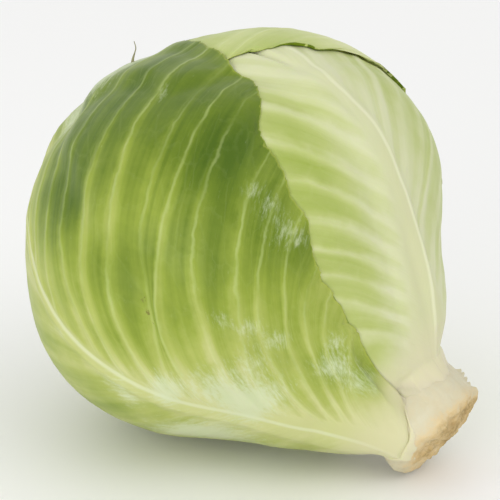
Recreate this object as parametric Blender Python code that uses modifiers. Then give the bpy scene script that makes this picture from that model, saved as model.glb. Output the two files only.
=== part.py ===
"""A head of green cabbage, lying on its side with its cut stem pointing down to the right.

It has a dense heart, four separate wrapper leaves over it, and the stem stub that they all grow
from. Every surface is a radius round the centre of the head, so each leaf lies on what is under
it. Directions are given by an angle from the stem and a turn about it, where 0 is the upper side,
90 the back (+Y), -90 the front and 180 the underside.
"""

import math
from dataclasses import dataclass, field

import bmesh
import bpy
import numpy as np

# Head, in metres and degrees
HEAD_CENTRE = (-0.0102, -0.0003, 0.0738)
STEM_TILT = 33.2  # how far the stem points below the horizontal
HEAD_PROFILE = (  # degrees from the stem, radius of the head
    (0, 0.0905),
    (20, 0.0858),
    (45, 0.0765),
    (70, 0.0796),
    (98, 0.0826),
    (130, 0.0788),
    (180, 0.0770),
)
SWELL = 0.0006  # height of the broad, uneven lumps of the head
BULGES = (  # degrees from the stem, turn, spread in degrees, height
    (72, 35, 32, 0.0040),
    (32, 38, 20, -0.0013),
    (15, 10, 14, 0.0024),
    (95, -145, 46, -0.0026),
    (52, -145, 24, -0.0013),
    (118, 35, 32, -0.0022),
    (146, 4, 15, 0.0012),
    (70, 34, 13, 0.0010),
    (50, 42, 12, 0.0010),
    (26, 50, 15, -0.0014),
    (57, 150, 26, -0.0015),
    (57, 180, 16, 0.0007),
)
NECK_RISE = 0.0088  # how much fuller the head is at the foot of the outermost leaf
NECK_END = 28.0  # degrees from the stem to where that ends
NECK_EASE = 1.4  # above 1, the head swells later on the way to the foot
NECK_SIDES = 40.0  # degrees about the stem over which it fades beside the foot

# Leaves
LEAF_CENTRE = 95.0  # degrees from the stem to the middle of every leaf
FOOT_ANGLE = 15.5  # degrees from the stem to the foot of a leaf
OUTER_FOOT_ANGLE = 12.8  # the outermost leaf grows from lower on the stem
FOOT_SPREAD = 48.0  # degrees about the stem, from the midrib to each corner of the foot
CLEARANCE = 0.0016  # between a leaf and the blade under it, ribs included
MARGIN_FADE = 9.0  # degrees outside its margin over which a leaf still lifts what covers it
SETTLE_FADE = 26.0  # the same for how far a leaf dents the heart

# Margins of the leaves
MARGIN_WAVES = ((11, 1, 1.0), (23, 2, 0.6))  # waves round the leaf, share of its phase and of its height
WAVES_START = 24.0  # degrees from the foot, about the middle of the leaf
WAVES_FULL = 36.0
WAVES_TIP_FADE = 8.0
THINNEST = 0.62  # share of a blade's thickness that its margin keeps
THINNING_START = 0.7  # share of the way from the midrib to the margin
CURL_WIDTH = 0.2  # share of the blade that curls, from its margin
CURL_ENDS = 10.0  # degrees about the middle of the leaf over which a curl starts and ends

# Midribs and side ribs
MIDRIB_TIP_WIDTH = 1.5  # degrees on each side
MIDRIB_TIP_HEIGHT = 0.12  # share of the height at its foot
MIDRIB_NARROWING = 3.0  # above 1, the midrib loses most of its width near its foot
MIDRIB_SINKING = 1.8  # the same for its height
RIB_HEIGHT = 0.0006
RIB_SINKING = 0.6  # share of that height which a side rib loses on its way to the margin
ROWS_PER_RIB = 3
COLUMN_CROWDING = 1.12  # above 1, the columns crowd towards the midrib
LAST_RIB_START = 0.62  # share of the way from the leaf's middle to its tip
RIB_STARTS_EASE = 1.3  # above 1, the side ribs start closer together near the foot
RIB_ENDS_EASE = 0.78  # below 1, they end further apart there
RIB_BEND = 14.0  # degrees by which the first side rib sets off from its straight line
MARGIN_STEPS = 400  # points along a margin when its length is measured

# Where the head rests, pressed flat by its own weight
PRESS_BLEND = 0.0010  # half the depth over which the round side turns into the flat spot
PRESS_TRIM = 0.00025  # how far the pressed leaf would reach below the floor before it is trimmed

# Heart
HEART_STEP = 0.0012  # how far each folded leaf stands out of what is under it
HEART_LEAF_DEPTH = 0.0046  # how deep it sits in the core
HEART_RINGS = 16
HEART_SEGMENTS = 28
HEART_RECESS = 0.0708  # from the centre of the head to the floor of the stem's recess
RECESS_FLOOR_ANGLE = 15.6  # degrees from the stem to the edge of that floor
RECESS_RIM_ANGLE = 16.6

# Stem stub, along its axis from the centre of the head
NECK_INNER_END = 0.0712
STUB_PROFILE = (  # distance along the stem, radius
    (0.0835, 0.0206),
    (0.0875, 0.0202),
    (0.0915, 0.0206),
    (0.0945, 0.0212),
    (0.0975, 0.0212),
    (0.1005, 0.0207),
    (0.1032, 0.0196),
    (0.1054, 0.0166),
    (0.1062, 0.0120),
    (0.1074, 0.0070),
    (0.1080, 0.0000),
)
STEM_RINGS = 5  # between the stem's inner end and the stub
STEM_SIDES = 40
STEM_GAP_ANGLE = 0.6  # degrees between the feet of the leaves and the stem
CLASP_SPREAD = 16.0  # degrees about the stem beyond the foot of the outermost leaf, and as many to fade
RAGGED_FROM = 0.0980  # distance along the stem from which it is torn
RAGGED_FULL = 0.1040
RAGGED_DEPTH = 0.0024
RAGGED_WAVES = ((3, 0.8, 0.5), (7, 2.0, 0.3), (17, 4.0, 0.2))  # waves about the stem, phase, share
RAGGED_OUTSIDE = 0.5  # share of that depth on the stem's outside
RAGGED_END = 0.6  # and on its cut end
CUT_EVEN_RADIUS = 0.012  # inside which the cut end grows even

# The head's own axes
TILT = math.radians(STEM_TILT)
STEM_AXIS = np.array((math.cos(TILT), 0, -math.sin(TILT)))
UPPER_SIDE = np.array((math.sin(TILT), 0, math.cos(TILT)))
BACK_SIDE = np.array((0.0, 1.0, 0.0))


@dataclass
class Leaf:
    """One blade. Its outline is (degrees from the foot, degrees from the middle), per side."""

    name: str
    turn: float
    foot_angle: float
    tip: float
    right: tuple
    left: tuple
    blade: float
    midrib_height: float
    midrib_width: float
    ribs: int
    columns: int
    wave: float = 0.9
    phase: float = 0.0
    curl: tuple = field(default=())


OUTER_LEAF = Leaf(
    name="leaf_front",
    turn=-107.7,
    foot_angle=OUTER_FOOT_ANGLE,
    tip=84,
    right=(
        (31, 78),
        (51, 71),
        (69, 72.8),
        (86, 75),
        (95, 81.5),
        (108, 85.4),
        (128, 91),
        (140, 95),
        (160, 90),
    ),
    left=((17, 92), (26, 97), (40, 100), (58, 99), (75, 97), (95, 92), (120, 86), (145, 88), (165, 86)),
    blade=0.0012,
    midrib_height=0.0032,
    midrib_width=10.5,
    ribs=13,
    columns=11,
    phase=0.4,
)
BACK_LEAF = Leaf(
    name="leaf_back",
    turn=94.8,
    foot_angle=FOOT_ANGLE,
    tip=101,
    right=((18, 88), (30, 91), (50, 90), (80, 92), (100, 93), (125, 96), (150, 102)),
    left=(
        (20, 74),
        (35, 64),
        (55, 57),
        (74, 55),
        (85, 60),
        (93, 73),
        (98, 84),
        (105, 94),
        (114, 105),
        (124, 113),
        (145, 109),
    ),
    blade=0.0011,
    midrib_height=0.0034,
    midrib_width=11.0,
    ribs=12,
    columns=13,
    phase=2.1,
    curl=(88, 126, 0.0016),
)
UPPER_LEAF = Leaf(
    name="leaf_upper",
    turn=-7.2,
    foot_angle=FOOT_ANGLE,
    tip=64,
    right=((20, 80), (35, 68), (55, 58), (80, 55), (105, 58), (130, 62), (155, 65)),
    left=((22, 80), (40, 74), (60, 68), (85, 64), (110, 64), (140, 66), (160, 65)),
    blade=0.0011,
    midrib_height=0.0040,
    midrib_width=12.5,
    ribs=11,
    columns=9,
    phase=3.3,
)
INNER_LEAF = Leaf(
    name="leaf_inner",
    turn=44.8,
    foot_angle=FOOT_ANGLE,
    tip=58,
    right=((22, 80), (40, 70), (60, 60), (90, 56), (120, 57), (150, 60)),
    left=((22, 80), (40, 68), (60, 58), (90, 54), (120, 56), (150, 59)),
    blade=0.0010,
    midrib_height=0.0028,
    midrib_width=10.0,
    ribs=9,
    columns=8,
    phase=4.6,
)
WRAPPERS = (INNER_LEAF, UPPER_LEAF, BACK_LEAF, OUTER_LEAF)  # innermost first

HEART_LEAVES = tuple(
    Leaf(
        name=f"heart_leaf_{number}",
        turn=-60 + 137.5 * number,
        foot_angle=18,
        tip=92,
        right=((20, 82), (40, 78), (65, 72), (90, 74), (120, 80), (150, 88)),
        left=((20, 80), (40, 74), (65, 70), (90, 72), (120, 82), (150, 90)),
        blade=HEART_STEP,
        midrib_height=0.0010,
        midrib_width=8.0,
        ribs=5,
        columns=6,
        phase=1.3 * number,
    )
    for number in range(3)
)


def curve(knots, at):
    """A smooth curve through the knots."""
    places, values = np.array(knots, float).T
    slopes = np.gradient(values, places)
    piece = np.clip(np.searchsorted(places, at, side="right") - 1, 0, len(places) - 2)
    width = places[piece + 1] - places[piece]
    t = np.clip((at - places[piece]) / width, 0, 1)
    start = (1 + 2 * t) * (1 - t) ** 2 * values[piece] + t * (1 - t) ** 2 * width * slopes[piece]
    end = t * t * (3 - 2 * t) * values[piece + 1] + t * t * (t - 1) * width * slopes[piece + 1]
    return start + end


def fade(distance, width):
    """1 up to a distance of 0, falling smoothly to 0 at the width."""
    t = np.clip(distance / width, 0, 1)
    return 1 - t * t * (3 - 2 * t)


def direction(from_stem, turn):
    angle = np.radians(from_stem)[..., None]
    around = np.radians(turn)[..., None]
    side = np.cos(around) * UPPER_SIDE + np.sin(around) * BACK_SIDE
    return np.cos(angle) * STEM_AXIS + np.sin(angle) * side


def leaf_axes(leaf):
    """The direction of the leaf's middle, its right and its tip."""
    middle = direction(np.array(LEAF_CENTRE), np.array(leaf.turn))
    towards_tip = middle * (STEM_AXIS @ middle) - STEM_AXIS
    towards_tip /= np.linalg.norm(towards_tip)
    turn = math.radians(leaf.turn)
    towards_right = math.cos(turn) * BACK_SIDE - math.sin(turn) * UPPER_SIDE
    return middle, towards_right, towards_tip


def from_leaf(leaf, x, y):
    """Directions of points given in degrees to the right of the leaf's middle and towards its tip."""
    middle, towards_right, towards_tip = leaf_axes(leaf)
    reach = np.radians(np.hypot(x, y))
    scale = np.sinc(reach / np.pi)
    flat = np.radians(x)[..., None] * towards_right + np.radians(y)[..., None] * towards_tip
    return np.cos(reach)[..., None] * middle + scale[..., None] * flat


def to_leaf(leaf, directions):
    middle, towards_right, towards_tip = leaf_axes(leaf)
    reach = np.arccos(np.clip(directions @ middle, -1, 1))
    scale = np.degrees(reach) / np.maximum(np.sin(reach), 1e-9)
    return directions @ towards_right * scale, directions @ towards_tip * scale


def foot(leaf):
    """Degrees from the leaf's middle to its foot."""
    return LEAF_CENTRE - leaf.foot_angle


def corner(leaf):
    """Where each corner of the leaf's foot is: degrees about its middle, and from it."""
    x, y = to_leaf(leaf, direction(np.array([leaf.foot_angle]), np.array([leaf.turn + FOOT_SPREAD])))
    return float(around_leaf(x, y)[0]), float(np.hypot(x, y)[0])


def outline(leaf, around):
    """Degrees from the leaf's middle to its margin; around is from the foot, positive to the right."""
    sides = []
    for knots in (leaf.right, leaf.left):
        whole = ((0, foot(leaf)), corner(leaf), *knots, (180, leaf.tip))
        sides.append(curve(whole, np.abs(around)))
    reach = np.where(around >= 0, sides[0], sides[1])
    wavy = np.clip((np.abs(around) - WAVES_START) / (WAVES_FULL - WAVES_START), 0, 1)
    wavy = wavy * np.clip((180 - np.abs(around)) / WAVES_TIP_FADE, 0, 1)
    for waves, phases, share in MARGIN_WAVES:
        reach = reach + leaf.wave * wavy * share * np.sin(waves * np.radians(around) + phases * leaf.phase)
    return reach


def around_leaf(x, y):
    return np.degrees(np.arctan2(x, -y))


def cover(leaf, directions, width):
    """How much of the leaf lies at each direction: 1 on it, fading out beyond its margin."""
    x, y = to_leaf(leaf, directions)
    return fade(np.hypot(x, y) - outline(leaf, around_leaf(x, y)), width)


def along_leaf(leaf, y):
    """0 at the leaf's foot, 1 at its tip."""
    return np.clip((y + foot(leaf)) / (foot(leaf) + leaf.tip), 0, 1)


def midrib(leaf, x, y):
    """Height of the midrib, a broad roof that narrows towards the tip."""
    left = 1 - along_leaf(leaf, y)
    width = MIDRIB_TIP_WIDTH + (leaf.midrib_width - MIDRIB_TIP_WIDTH) * left**MIDRIB_NARROWING
    height = leaf.midrib_height * (MIDRIB_TIP_HEIGHT + (1 - MIDRIB_TIP_HEIGHT) * left**MIDRIB_SINKING)
    return height * fade(np.abs(x), width)


def side_ribs(leaf, across, row):
    """Height of the side ribs, which run out along the rows of the blade and alternate left and right."""
    phase = row * leaf.ribs + np.where(across > 0, 0, 1 / ROWS_PER_RIB)
    crest = np.clip(np.cos(2 * np.pi * phase), 0, 1)
    return RIB_HEIGHT * crest * (1 - RIB_SINKING * np.abs(across))


def turned_away(directions, turn):
    """Degrees about the stem between each direction and a turn."""
    around = np.arctan2(directions @ BACK_SIDE, directions @ UPPER_SIDE) - math.radians(turn)
    return np.degrees(np.abs(np.angle(np.exp(1j * around))))


def envelope(directions):
    """Radius of the whole head."""
    from_stem = np.degrees(np.arccos(np.clip(directions @ STEM_AXIS, -1, 1)))
    x, y, z = directions.T
    lumps = np.sin(5 * x + 1.0) * np.sin(4 * y + 0.5) + 0.6 * np.sin(7 * z + 2 * x)
    radius = curve(HEAD_PROFILE, from_stem) + SWELL * lumps
    for angle, turn, spread, height in BULGES:
        middle = direction(np.array(float(angle)), np.array(float(turn)))
        away = np.degrees(np.arccos(np.clip(directions @ middle, -1, 1)))
        radius = radius + height * np.exp(-((away / spread) ** 2))
    towards_foot = fade(turned_away(directions, OUTER_LEAF.turn) - FOOT_SPREAD, NECK_SIDES)
    neck = np.clip((NECK_END - from_stem) / (NECK_END - OUTER_FOOT_ANGLE), 0, None)
    return radius + NECK_RISE * towards_foot * neck**NECK_EASE


def layer(leaf, directions):
    """How far a leaf lifts what covers it, where it lies."""
    x, y = to_leaf(leaf, directions)
    return leaf.blade + CLEARANCE + midrib(leaf, x, y)


def heart_radius(directions):
    """Radius of the heart, which leaves room for the leaves round it."""
    radius = envelope(directions)
    for leaf in WRAPPERS:
        radius = radius - layer(leaf, directions) * cover(leaf, directions, SETTLE_FADE)
    return radius


def inner_radius(leaf, directions):
    """Radius of a leaf's inner face: the heart and every leaf below it."""
    radius = heart_radius(directions) + CLEARANCE
    for below in WRAPPERS[: WRAPPERS.index(leaf)]:
        radius = radius + layer(below, directions) * cover(below, directions, MARGIN_FADE)
    return radius


def heart_leaf_radius(leaf, directions):
    """Radius of the face of a heart leaf: the outermost of them reaches the heart's own radius."""
    number = HEART_LEAVES.index(leaf)
    covered = [cover(below, directions, MARGIN_FADE) for below in HEART_LEAVES[:number]]
    return core_radius(directions) + HEART_STEP * (1 + sum(covered))


def core_radius(directions):
    return heart_radius(directions) - HEART_STEP * len(HEART_LEAVES)


def pressed(directions, points):
    """Points lifted where the whole head, resting under its own weight, is pressed flat."""
    height = HEAD_CENTRE[2] + envelope(directions) * directions[:, 2]
    depth = -PRESS_TRIM - height
    lift = np.where(depth < PRESS_BLEND, (depth + PRESS_BLEND) ** 2 / (4 * PRESS_BLEND), depth)
    lift = np.where(depth < -PRESS_BLEND, 0, lift)
    return points + lift[:, None] * np.array((0, 0, 1))


def curled(leaf, x, y, across):
    """Height by which a stretch of the leaf's left margin curls away from what it covers."""
    if not leaf.curl:
        return 0
    start, end, height = leaf.curl
    around = -around_leaf(x, y)
    stretch = np.clip((around - start) / CURL_ENDS, 0, 1) * np.clip((end - around) / CURL_ENDS, 0, 1)
    return height * stretch * np.clip(1 - (1 - across) / CURL_WIDTH, 0, 1) ** 2


def blade_rows(leaf, across, row):
    """Places on the leaf. Rows run from the midrib to the margin along the side ribs."""
    side = np.where(across < 0, -1, 1)
    start_y = -foot(leaf) + (LAST_RIB_START * leaf.tip + foot(leaf)) * row**RIB_STARTS_EASE
    around = np.linspace(corner(leaf)[0], 180, MARGIN_STEPS)
    end_x = np.zeros(len(row))
    end_y = np.zeros(len(row))
    for sign in (-1, 1):
        reach = outline(leaf, sign * around)
        margin_x = sign * reach * np.sin(np.radians(around))
        margin_y = -reach * np.cos(np.radians(around))
        length = np.append(0, np.cumsum(np.hypot(np.diff(margin_x), np.diff(margin_y))))
        share = length[-1] * row**RIB_ENDS_EASE
        end_x = np.where(side == sign, np.interp(share, length, margin_x), end_x)
        end_y = np.where(side == sign, np.interp(share, length, margin_y), end_y)
    run_x = end_x
    run_y = end_y - start_y
    bend = np.radians(RIB_BEND) * (1 - row) * (1 - 3 * row) * side
    early_x = run_x * np.cos(bend) - run_y * np.sin(bend)
    early_y = run_x * np.sin(bend) + run_y * np.cos(bend)
    t = np.abs(across) ** COLUMN_CROWDING
    x = t * (1 - t) * early_x + t * t * run_x
    y = start_y + t * (1 - t) * early_y + t * t * run_y
    return x, y


def leaf_object(leaf, radius_of, thickness_of, outward, material):
    """An open sheet laid out by rows and columns, given its thickness by Solidify."""
    bm = bmesh.new()
    bmesh.ops.create_grid(bm, x_segments=2 * leaf.columns, y_segments=leaf.ribs * ROWS_PER_RIB, size=1)
    bmesh.ops.triangulate(bm, faces=bm.faces, quad_method="FIXED")
    across, row = np.array([vertex.co.xy for vertex in bm.verts]).T
    row = (row + 1) / 2
    x, y = blade_rows(leaf, across, row)
    directions = from_leaf(leaf, x, y)
    radius = radius_of(leaf, directions) + curled(leaf, x, y, np.abs(across))
    points = pressed(directions, directions * radius[:, None])
    thickness = thickness_of(leaf, x, y, across, row)
    deepest = float(thickness.max())
    weights = bm.verts.layers.deform.verify()
    for vertex, point, depth in zip(bm.verts, points, thickness):
        vertex.co = point
        vertex[weights][0] = float(depth) / deepest
    bmesh.ops.remove_doubles(bm, verts=bm.verts, dist=1e-6)
    mesh = bpy.data.meshes.new(leaf.name)
    bm.to_mesh(mesh)
    bm.free()
    mesh.materials.append(material)
    obj = bpy.data.objects.new(leaf.name, mesh)
    group = obj.vertex_groups.new(name="thickness")
    solid = obj.modifiers.new("Blade", "SOLIDIFY")
    solid.thickness = deepest
    solid.offset = 1 if outward else -1
    solid.vertex_group = group.name
    return obj


def blade_thickness(leaf, x, y, across, row):
    thinning = np.clip((np.abs(across) - THINNING_START) / (1 - THINNING_START), 0, 1)
    return leaf.blade * (1 - (1 - THINNEST) * thinning) + midrib(leaf, x, y) + side_ribs(leaf, across, row)


def heart_leaf_thickness(leaf, x, y, across, row):
    return np.full(len(x), HEART_LEAF_DEPTH)


def applied(obj):
    """The object's mesh with its modifiers in it."""
    bpy.context.view_layer.update()
    evaluated = obj.evaluated_get(bpy.context.evaluated_depsgraph_get())
    mesh = bpy.data.meshes.new_from_object(evaluated)
    obj.modifiers.clear()
    obj.vertex_groups.clear()
    obj.data = mesh
    mesh.name = obj.name


def trim_at_floor(obj):
    """Makes the pressed spot truly flat."""
    floor = -HEAD_CENTRE[2]
    for vertex in obj.data.vertices:
        vertex.co.z = max(vertex.co.z, floor)


def make_wrapper(leaf, material, place):
    obj = leaf_object(leaf, inner_radius, blade_thickness, True, material)
    place(obj)
    applied(obj)
    trim_at_floor(obj)
    return obj


def heart_core(material):
    """The dense middle of the head, with a recess for the stem."""
    bm = bmesh.new()
    bmesh.ops.create_uvsphere(bm, u_segments=HEART_SEGMENTS, v_segments=HEART_RINGS, radius=1)
    x, y, z = np.array([vertex.co for vertex in bm.verts]).T
    ring = 180 / HEART_RINGS
    spread = ((0, 0), (ring, RECESS_FLOOR_ANGLE), (2 * ring, RECESS_RIM_ANGLE), (180, 180))
    from_stem = np.interp(np.degrees(np.arccos(np.clip(z, -1, 1))), *np.array(spread).T)
    directions = direction(from_stem, np.degrees(np.arctan2(y, x)))
    floor = HEART_RECESS / np.cos(np.radians(np.minimum(from_stem, RECESS_FLOOR_ANGLE)))
    radius = np.where(from_stem < RECESS_FLOOR_ANGLE + 0.1, floor, core_radius(directions))
    points = pressed(directions, directions * radius[:, None])
    for vertex, point in zip(bm.verts, points):
        vertex.co = point
    bmesh.ops.recalc_face_normals(bm, faces=bm.faces)
    mesh = bpy.data.meshes.new("heart")
    bm.to_mesh(mesh)
    bm.free()
    mesh.materials.append(material)
    return bpy.data.objects.new("heart", mesh)


def make_heart(material, place):
    """The heart: a core and the inner leaves that are folded tightly over it, as one body."""
    heart = heart_core(material)
    place(heart)
    folded = bpy.data.collections.new("folded_leaves")
    bpy.context.scene.collection.children.link(folded)
    for leaf in HEART_LEAVES:
        obj = leaf_object(leaf, heart_leaf_radius, heart_leaf_thickness, False, material)
        folded.objects.link(obj)
        obj.parent = heart
        applied(obj)
    join = heart.modifiers.new("Fold", "BOOLEAN")
    join.operation = "UNION"
    join.operand_type = "COLLECTION"
    join.collection = folded
    join.solver = "MANIFOLD"
    applied(heart)
    keep_outer_skin(heart)
    for obj in list(folded.objects):
        bpy.data.objects.remove(obj)
    bpy.data.collections.remove(folded)
    return heart


def keep_outer_skin(obj):
    """Fills any hollow that the union sealed, and drops loose scraps and folded slivers."""
    bm = bmesh.new()
    bm.from_mesh(obj.data)
    bmesh.ops.triangulate(bm, faces=bm.faces)
    left = set(bm.faces)
    largest = set()
    while left:
        island = {left.pop()}
        border = list(island)
        while border:
            plain_edges = [edge for edge in border.pop().edges if len(edge.link_faces) == 2]
            found = {face for edge in plain_edges for face in edge.link_faces} & left
            left -= found
            island |= found
            border += found
        largest = max(largest, island, key=len)
    bmesh.ops.delete(bm, geom=[face for face in bm.faces if face not in largest], context="FACES")
    bm.to_mesh(obj.data)
    bm.free()
    obj.data.update()


def ragged(distance, turn):
    """How the stem's outside is torn and corky towards its cut."""
    torn = np.clip((distance - RAGGED_FROM) / (RAGGED_FULL - RAGGED_FROM), 0, 1)
    wave = sum(share * np.sin(waves * turn + phase) for waves, phase, share in RAGGED_WAVES)
    return float(RAGGED_DEPTH * torn * wave)


def neck_radius(distance, turn):
    """The stem among the feet of the leaves, slimmer where the outermost one clasps it."""
    away = abs((math.degrees(turn) - OUTER_LEAF.turn + 180) % 360 - 180)
    clasped = float(fade(away - FOOT_SPREAD - CLASP_SPREAD, CLASP_SPREAD))
    angle = FOOT_ANGLE + (OUTER_FOOT_ANGLE - FOOT_ANGLE) * clasped - STEM_GAP_ANGLE
    return distance * math.tan(math.radians(angle))


def make_stem(material, place):
    """The stem stub, a turned body with an uneven cut end."""
    bm = bmesh.new()
    neck = np.linspace(NECK_INNER_END, STUB_PROFILE[0][0], STEM_RINGS)[:-1]
    rings = [(distance, neck_radius(distance, 0)) for distance in neck]
    inner_end = [(NECK_INNER_END, rings[0][1] * share) for share in (0, 0.5)]
    turned = (*inner_end, *rings, *STUB_PROFILE)
    profile = [bm.verts.new((radius, 0, distance)) for distance, radius in turned]
    edges = [bm.edges.new(pair) for pair in zip(profile, profile[1:])]
    bmesh.ops.spin(
        bm,
        geom=profile + edges,
        cent=(0, 0, 0),
        axis=(0, 0, 1),
        angle=2 * math.pi,
        steps=STEM_SIDES,
        use_merge=True,
    )
    bmesh.ops.remove_doubles(bm, verts=bm.verts, dist=1e-6)
    for vertex in bm.verts:
        x, y, distance = vertex.co
        around = math.atan2(y, x)
        turn = math.pi - around
        full = math.hypot(x, y)
        radius = min(full + RAGGED_OUTSIDE * ragged(distance, turn), neck_radius(distance, turn))
        end = RAGGED_END * ragged(distance, turn + 1) * min(full / CUT_EVEN_RADIUS, 1)
        vertex.co = (radius * math.cos(around), radius * math.sin(around), distance + end)
    bmesh.ops.recalc_face_normals(bm, faces=bm.faces)
    mesh = bpy.data.meshes.new("stem")
    bm.to_mesh(mesh)
    bm.free()
    mesh.materials.append(material)
    stem = bpy.data.objects.new("stem", mesh)
    stem.rotation_euler = (0, math.radians(90 + STEM_TILT), 0)
    place(stem)
    return stem


def make_material(name, colour, roughness):
    material = bpy.data.materials.new(name)
    material.use_nodes = True
    shader = material.node_tree.nodes["Principled BSDF"]
    shader.inputs["Base Color"].default_value = (*colour, 1)
    shader.inputs["Roughness"].default_value = roughness
    shader.inputs["Metallic"].default_value = 0
    return material


def clear_scene():
    for obj in list(bpy.data.objects):
        bpy.data.objects.remove(obj)


def main():
    clear_scene()
    cabbage = bpy.data.collections.new("green_cabbage")
    bpy.context.scene.collection.children.link(cabbage)
    head = bpy.data.objects.new("head", None)
    head.location = HEAD_CENTRE
    cabbage.objects.link(head)

    def place(obj):
        cabbage.objects.link(obj)
        obj.parent = head

    dark = make_material("outer_leaf", (0.22, 0.34, 0.05), 0.45)
    green = make_material("back_leaf", (0.42, 0.50, 0.18), 0.45)
    pale = make_material("inner_leaf", (0.56, 0.62, 0.28), 0.42)
    flesh = make_material("stem_flesh", (0.65, 0.58, 0.38), 0.6)
    looks = {"leaf_front": dark, "leaf_back": green, "leaf_upper": pale, "leaf_inner": pale}
    for leaf in WRAPPERS:
        make_wrapper(leaf, looks[leaf.name], place)
    make_heart(pale, place)
    make_stem(flesh, place)
    for obj in cabbage.objects:
        if obj.type == "MESH":
            obj.data.shade_smooth()


main()
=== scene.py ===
"""A head of green cabbage as the camera sees it: fine leaves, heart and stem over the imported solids.

The shape constants and shape functions are those of the solids, so every fine piece lies where its
solid does. On top of them come the veins, the waxy bloom, the ragged margins and the torn stem.
"""

import math
from dataclasses import dataclass, field

import bpy
import numpy as np
from mathutils import Matrix, Vector, noise
from mathutils.bvhtree import BVHTree


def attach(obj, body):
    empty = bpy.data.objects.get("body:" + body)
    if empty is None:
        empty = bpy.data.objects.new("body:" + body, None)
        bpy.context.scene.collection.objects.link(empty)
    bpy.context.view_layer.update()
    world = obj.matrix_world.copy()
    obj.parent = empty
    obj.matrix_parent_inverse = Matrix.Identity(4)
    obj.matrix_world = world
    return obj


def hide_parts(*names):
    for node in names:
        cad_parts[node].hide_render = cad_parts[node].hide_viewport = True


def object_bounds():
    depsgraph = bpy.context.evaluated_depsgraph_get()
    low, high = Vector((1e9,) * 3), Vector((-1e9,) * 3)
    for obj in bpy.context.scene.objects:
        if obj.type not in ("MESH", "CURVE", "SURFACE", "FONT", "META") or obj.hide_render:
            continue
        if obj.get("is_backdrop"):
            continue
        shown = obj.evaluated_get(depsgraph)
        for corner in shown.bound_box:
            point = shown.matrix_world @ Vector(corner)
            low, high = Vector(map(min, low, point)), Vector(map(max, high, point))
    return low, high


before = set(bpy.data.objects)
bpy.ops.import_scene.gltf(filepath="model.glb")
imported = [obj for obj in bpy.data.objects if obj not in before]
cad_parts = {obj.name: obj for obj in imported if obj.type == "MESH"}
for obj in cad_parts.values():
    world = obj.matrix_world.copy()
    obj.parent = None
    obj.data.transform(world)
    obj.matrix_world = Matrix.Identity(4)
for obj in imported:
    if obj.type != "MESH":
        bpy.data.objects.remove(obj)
CAD_LOW, CAD_HIGH = (np.array(corner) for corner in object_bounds())

# Head, in metres and degrees
HEAD_CENTRE = (-0.0102, -0.0003, 0.0738)
STEM_TILT = 33.2  # how far the stem points below the horizontal
HEAD_PROFILE = (  # degrees from the stem, radius of the head
    (0, 0.0905), (20, 0.0858), (45, 0.0765), (70, 0.0796), (98, 0.0826), (130, 0.0788),
    (180, 0.0770),
)
SWELL = 0.0006  # height of the broad, uneven lumps of the head
BULGES = (  # degrees from the stem, turn, spread in degrees, height
    (72, 35, 32, 0.0040), (32, 38, 20, -0.0013), (15, 10, 14, 0.0024), (95, -145, 46, -0.0026),
    (52, -145, 24, -0.0013), (118, 35, 32, -0.0022), (146, 4, 15, 0.0012), (70, 34, 13, 0.0010),
    (50, 42, 12, 0.0010), (26, 50, 15, -0.0014), (57, 150, 26, -0.0015), (57, 180, 16, 0.0007),
)
NECK_RISE = 0.0088  # how much fuller the head is at the foot of the outermost leaf
NECK_END = 28.0  # degrees from the stem to where that ends
NECK_EASE = 1.4  # above 1, the head swells later on the way to the foot
NECK_SIDES = 40.0  # degrees about the stem over which it fades beside the foot

# Leaves
LEAF_CENTRE = 95.0  # degrees from the stem to the middle of every leaf
FOOT_ANGLE = 15.5  # degrees from the stem to the foot of a leaf
OUTER_FOOT_ANGLE = 12.8  # the outermost leaf grows from lower on the stem
FOOT_SPREAD = 48.0  # degrees about the stem, from the midrib to each corner of the foot
CLEARANCE = 0.0016  # between a leaf and the blade under it, ribs included
MARGIN_FADE = 9.0  # degrees outside its margin over which a leaf still lifts what covers it
SETTLE_FADE = 26.0  # the same for how far a leaf dents the heart

# Margins of the leaves
MARGIN_WAVES = ((11, 1, 1.0), (23, 2, 0.6))  # waves round the leaf, share of its phase and of its height
WAVES_START = 24.0  # degrees from the foot, about the middle of the leaf
WAVES_FULL = 36.0
WAVES_TIP_FADE = 8.0
THINNING_START = 0.7  # share of the way from the midrib to the margin where a blade starts to thin
THINNING_EASE = 1.7  # above 1, it thins later

# Midribs and side ribs
MIDRIB_TIP_WIDTH = 1.5  # degrees on each side
MIDRIB_TIP_HEIGHT = 0.12  # share of the height at its foot
MIDRIB_NARROWING = 3.0  # above 1, the midrib loses most of its width near its foot
MIDRIB_SINKING = 1.8  # the same for its height
COLUMN_CROWDING = 1.12  # above 1, the columns crowd towards the midrib
LAST_RIB_START = 0.62  # share of the way from the leaf's middle to its tip
RIB_STARTS_EASE = 1.3  # above 1, the side ribs start closer together near the foot
RIB_ENDS_EASE = 0.78  # below 1, they end further apart there
RIB_BEND = 14.0  # degrees by which the first side rib sets off from its straight line
MARGIN_STEPS = 400  # points along a margin when its length is measured

# Where the head rests, pressed flat by its own weight
PRESS_BLEND = 0.0010  # half the depth over which the round side turns into the flat spot
PRESS_TRIM = 0.00025  # how far the pressed leaf would reach below the floor before it is trimmed

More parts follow.
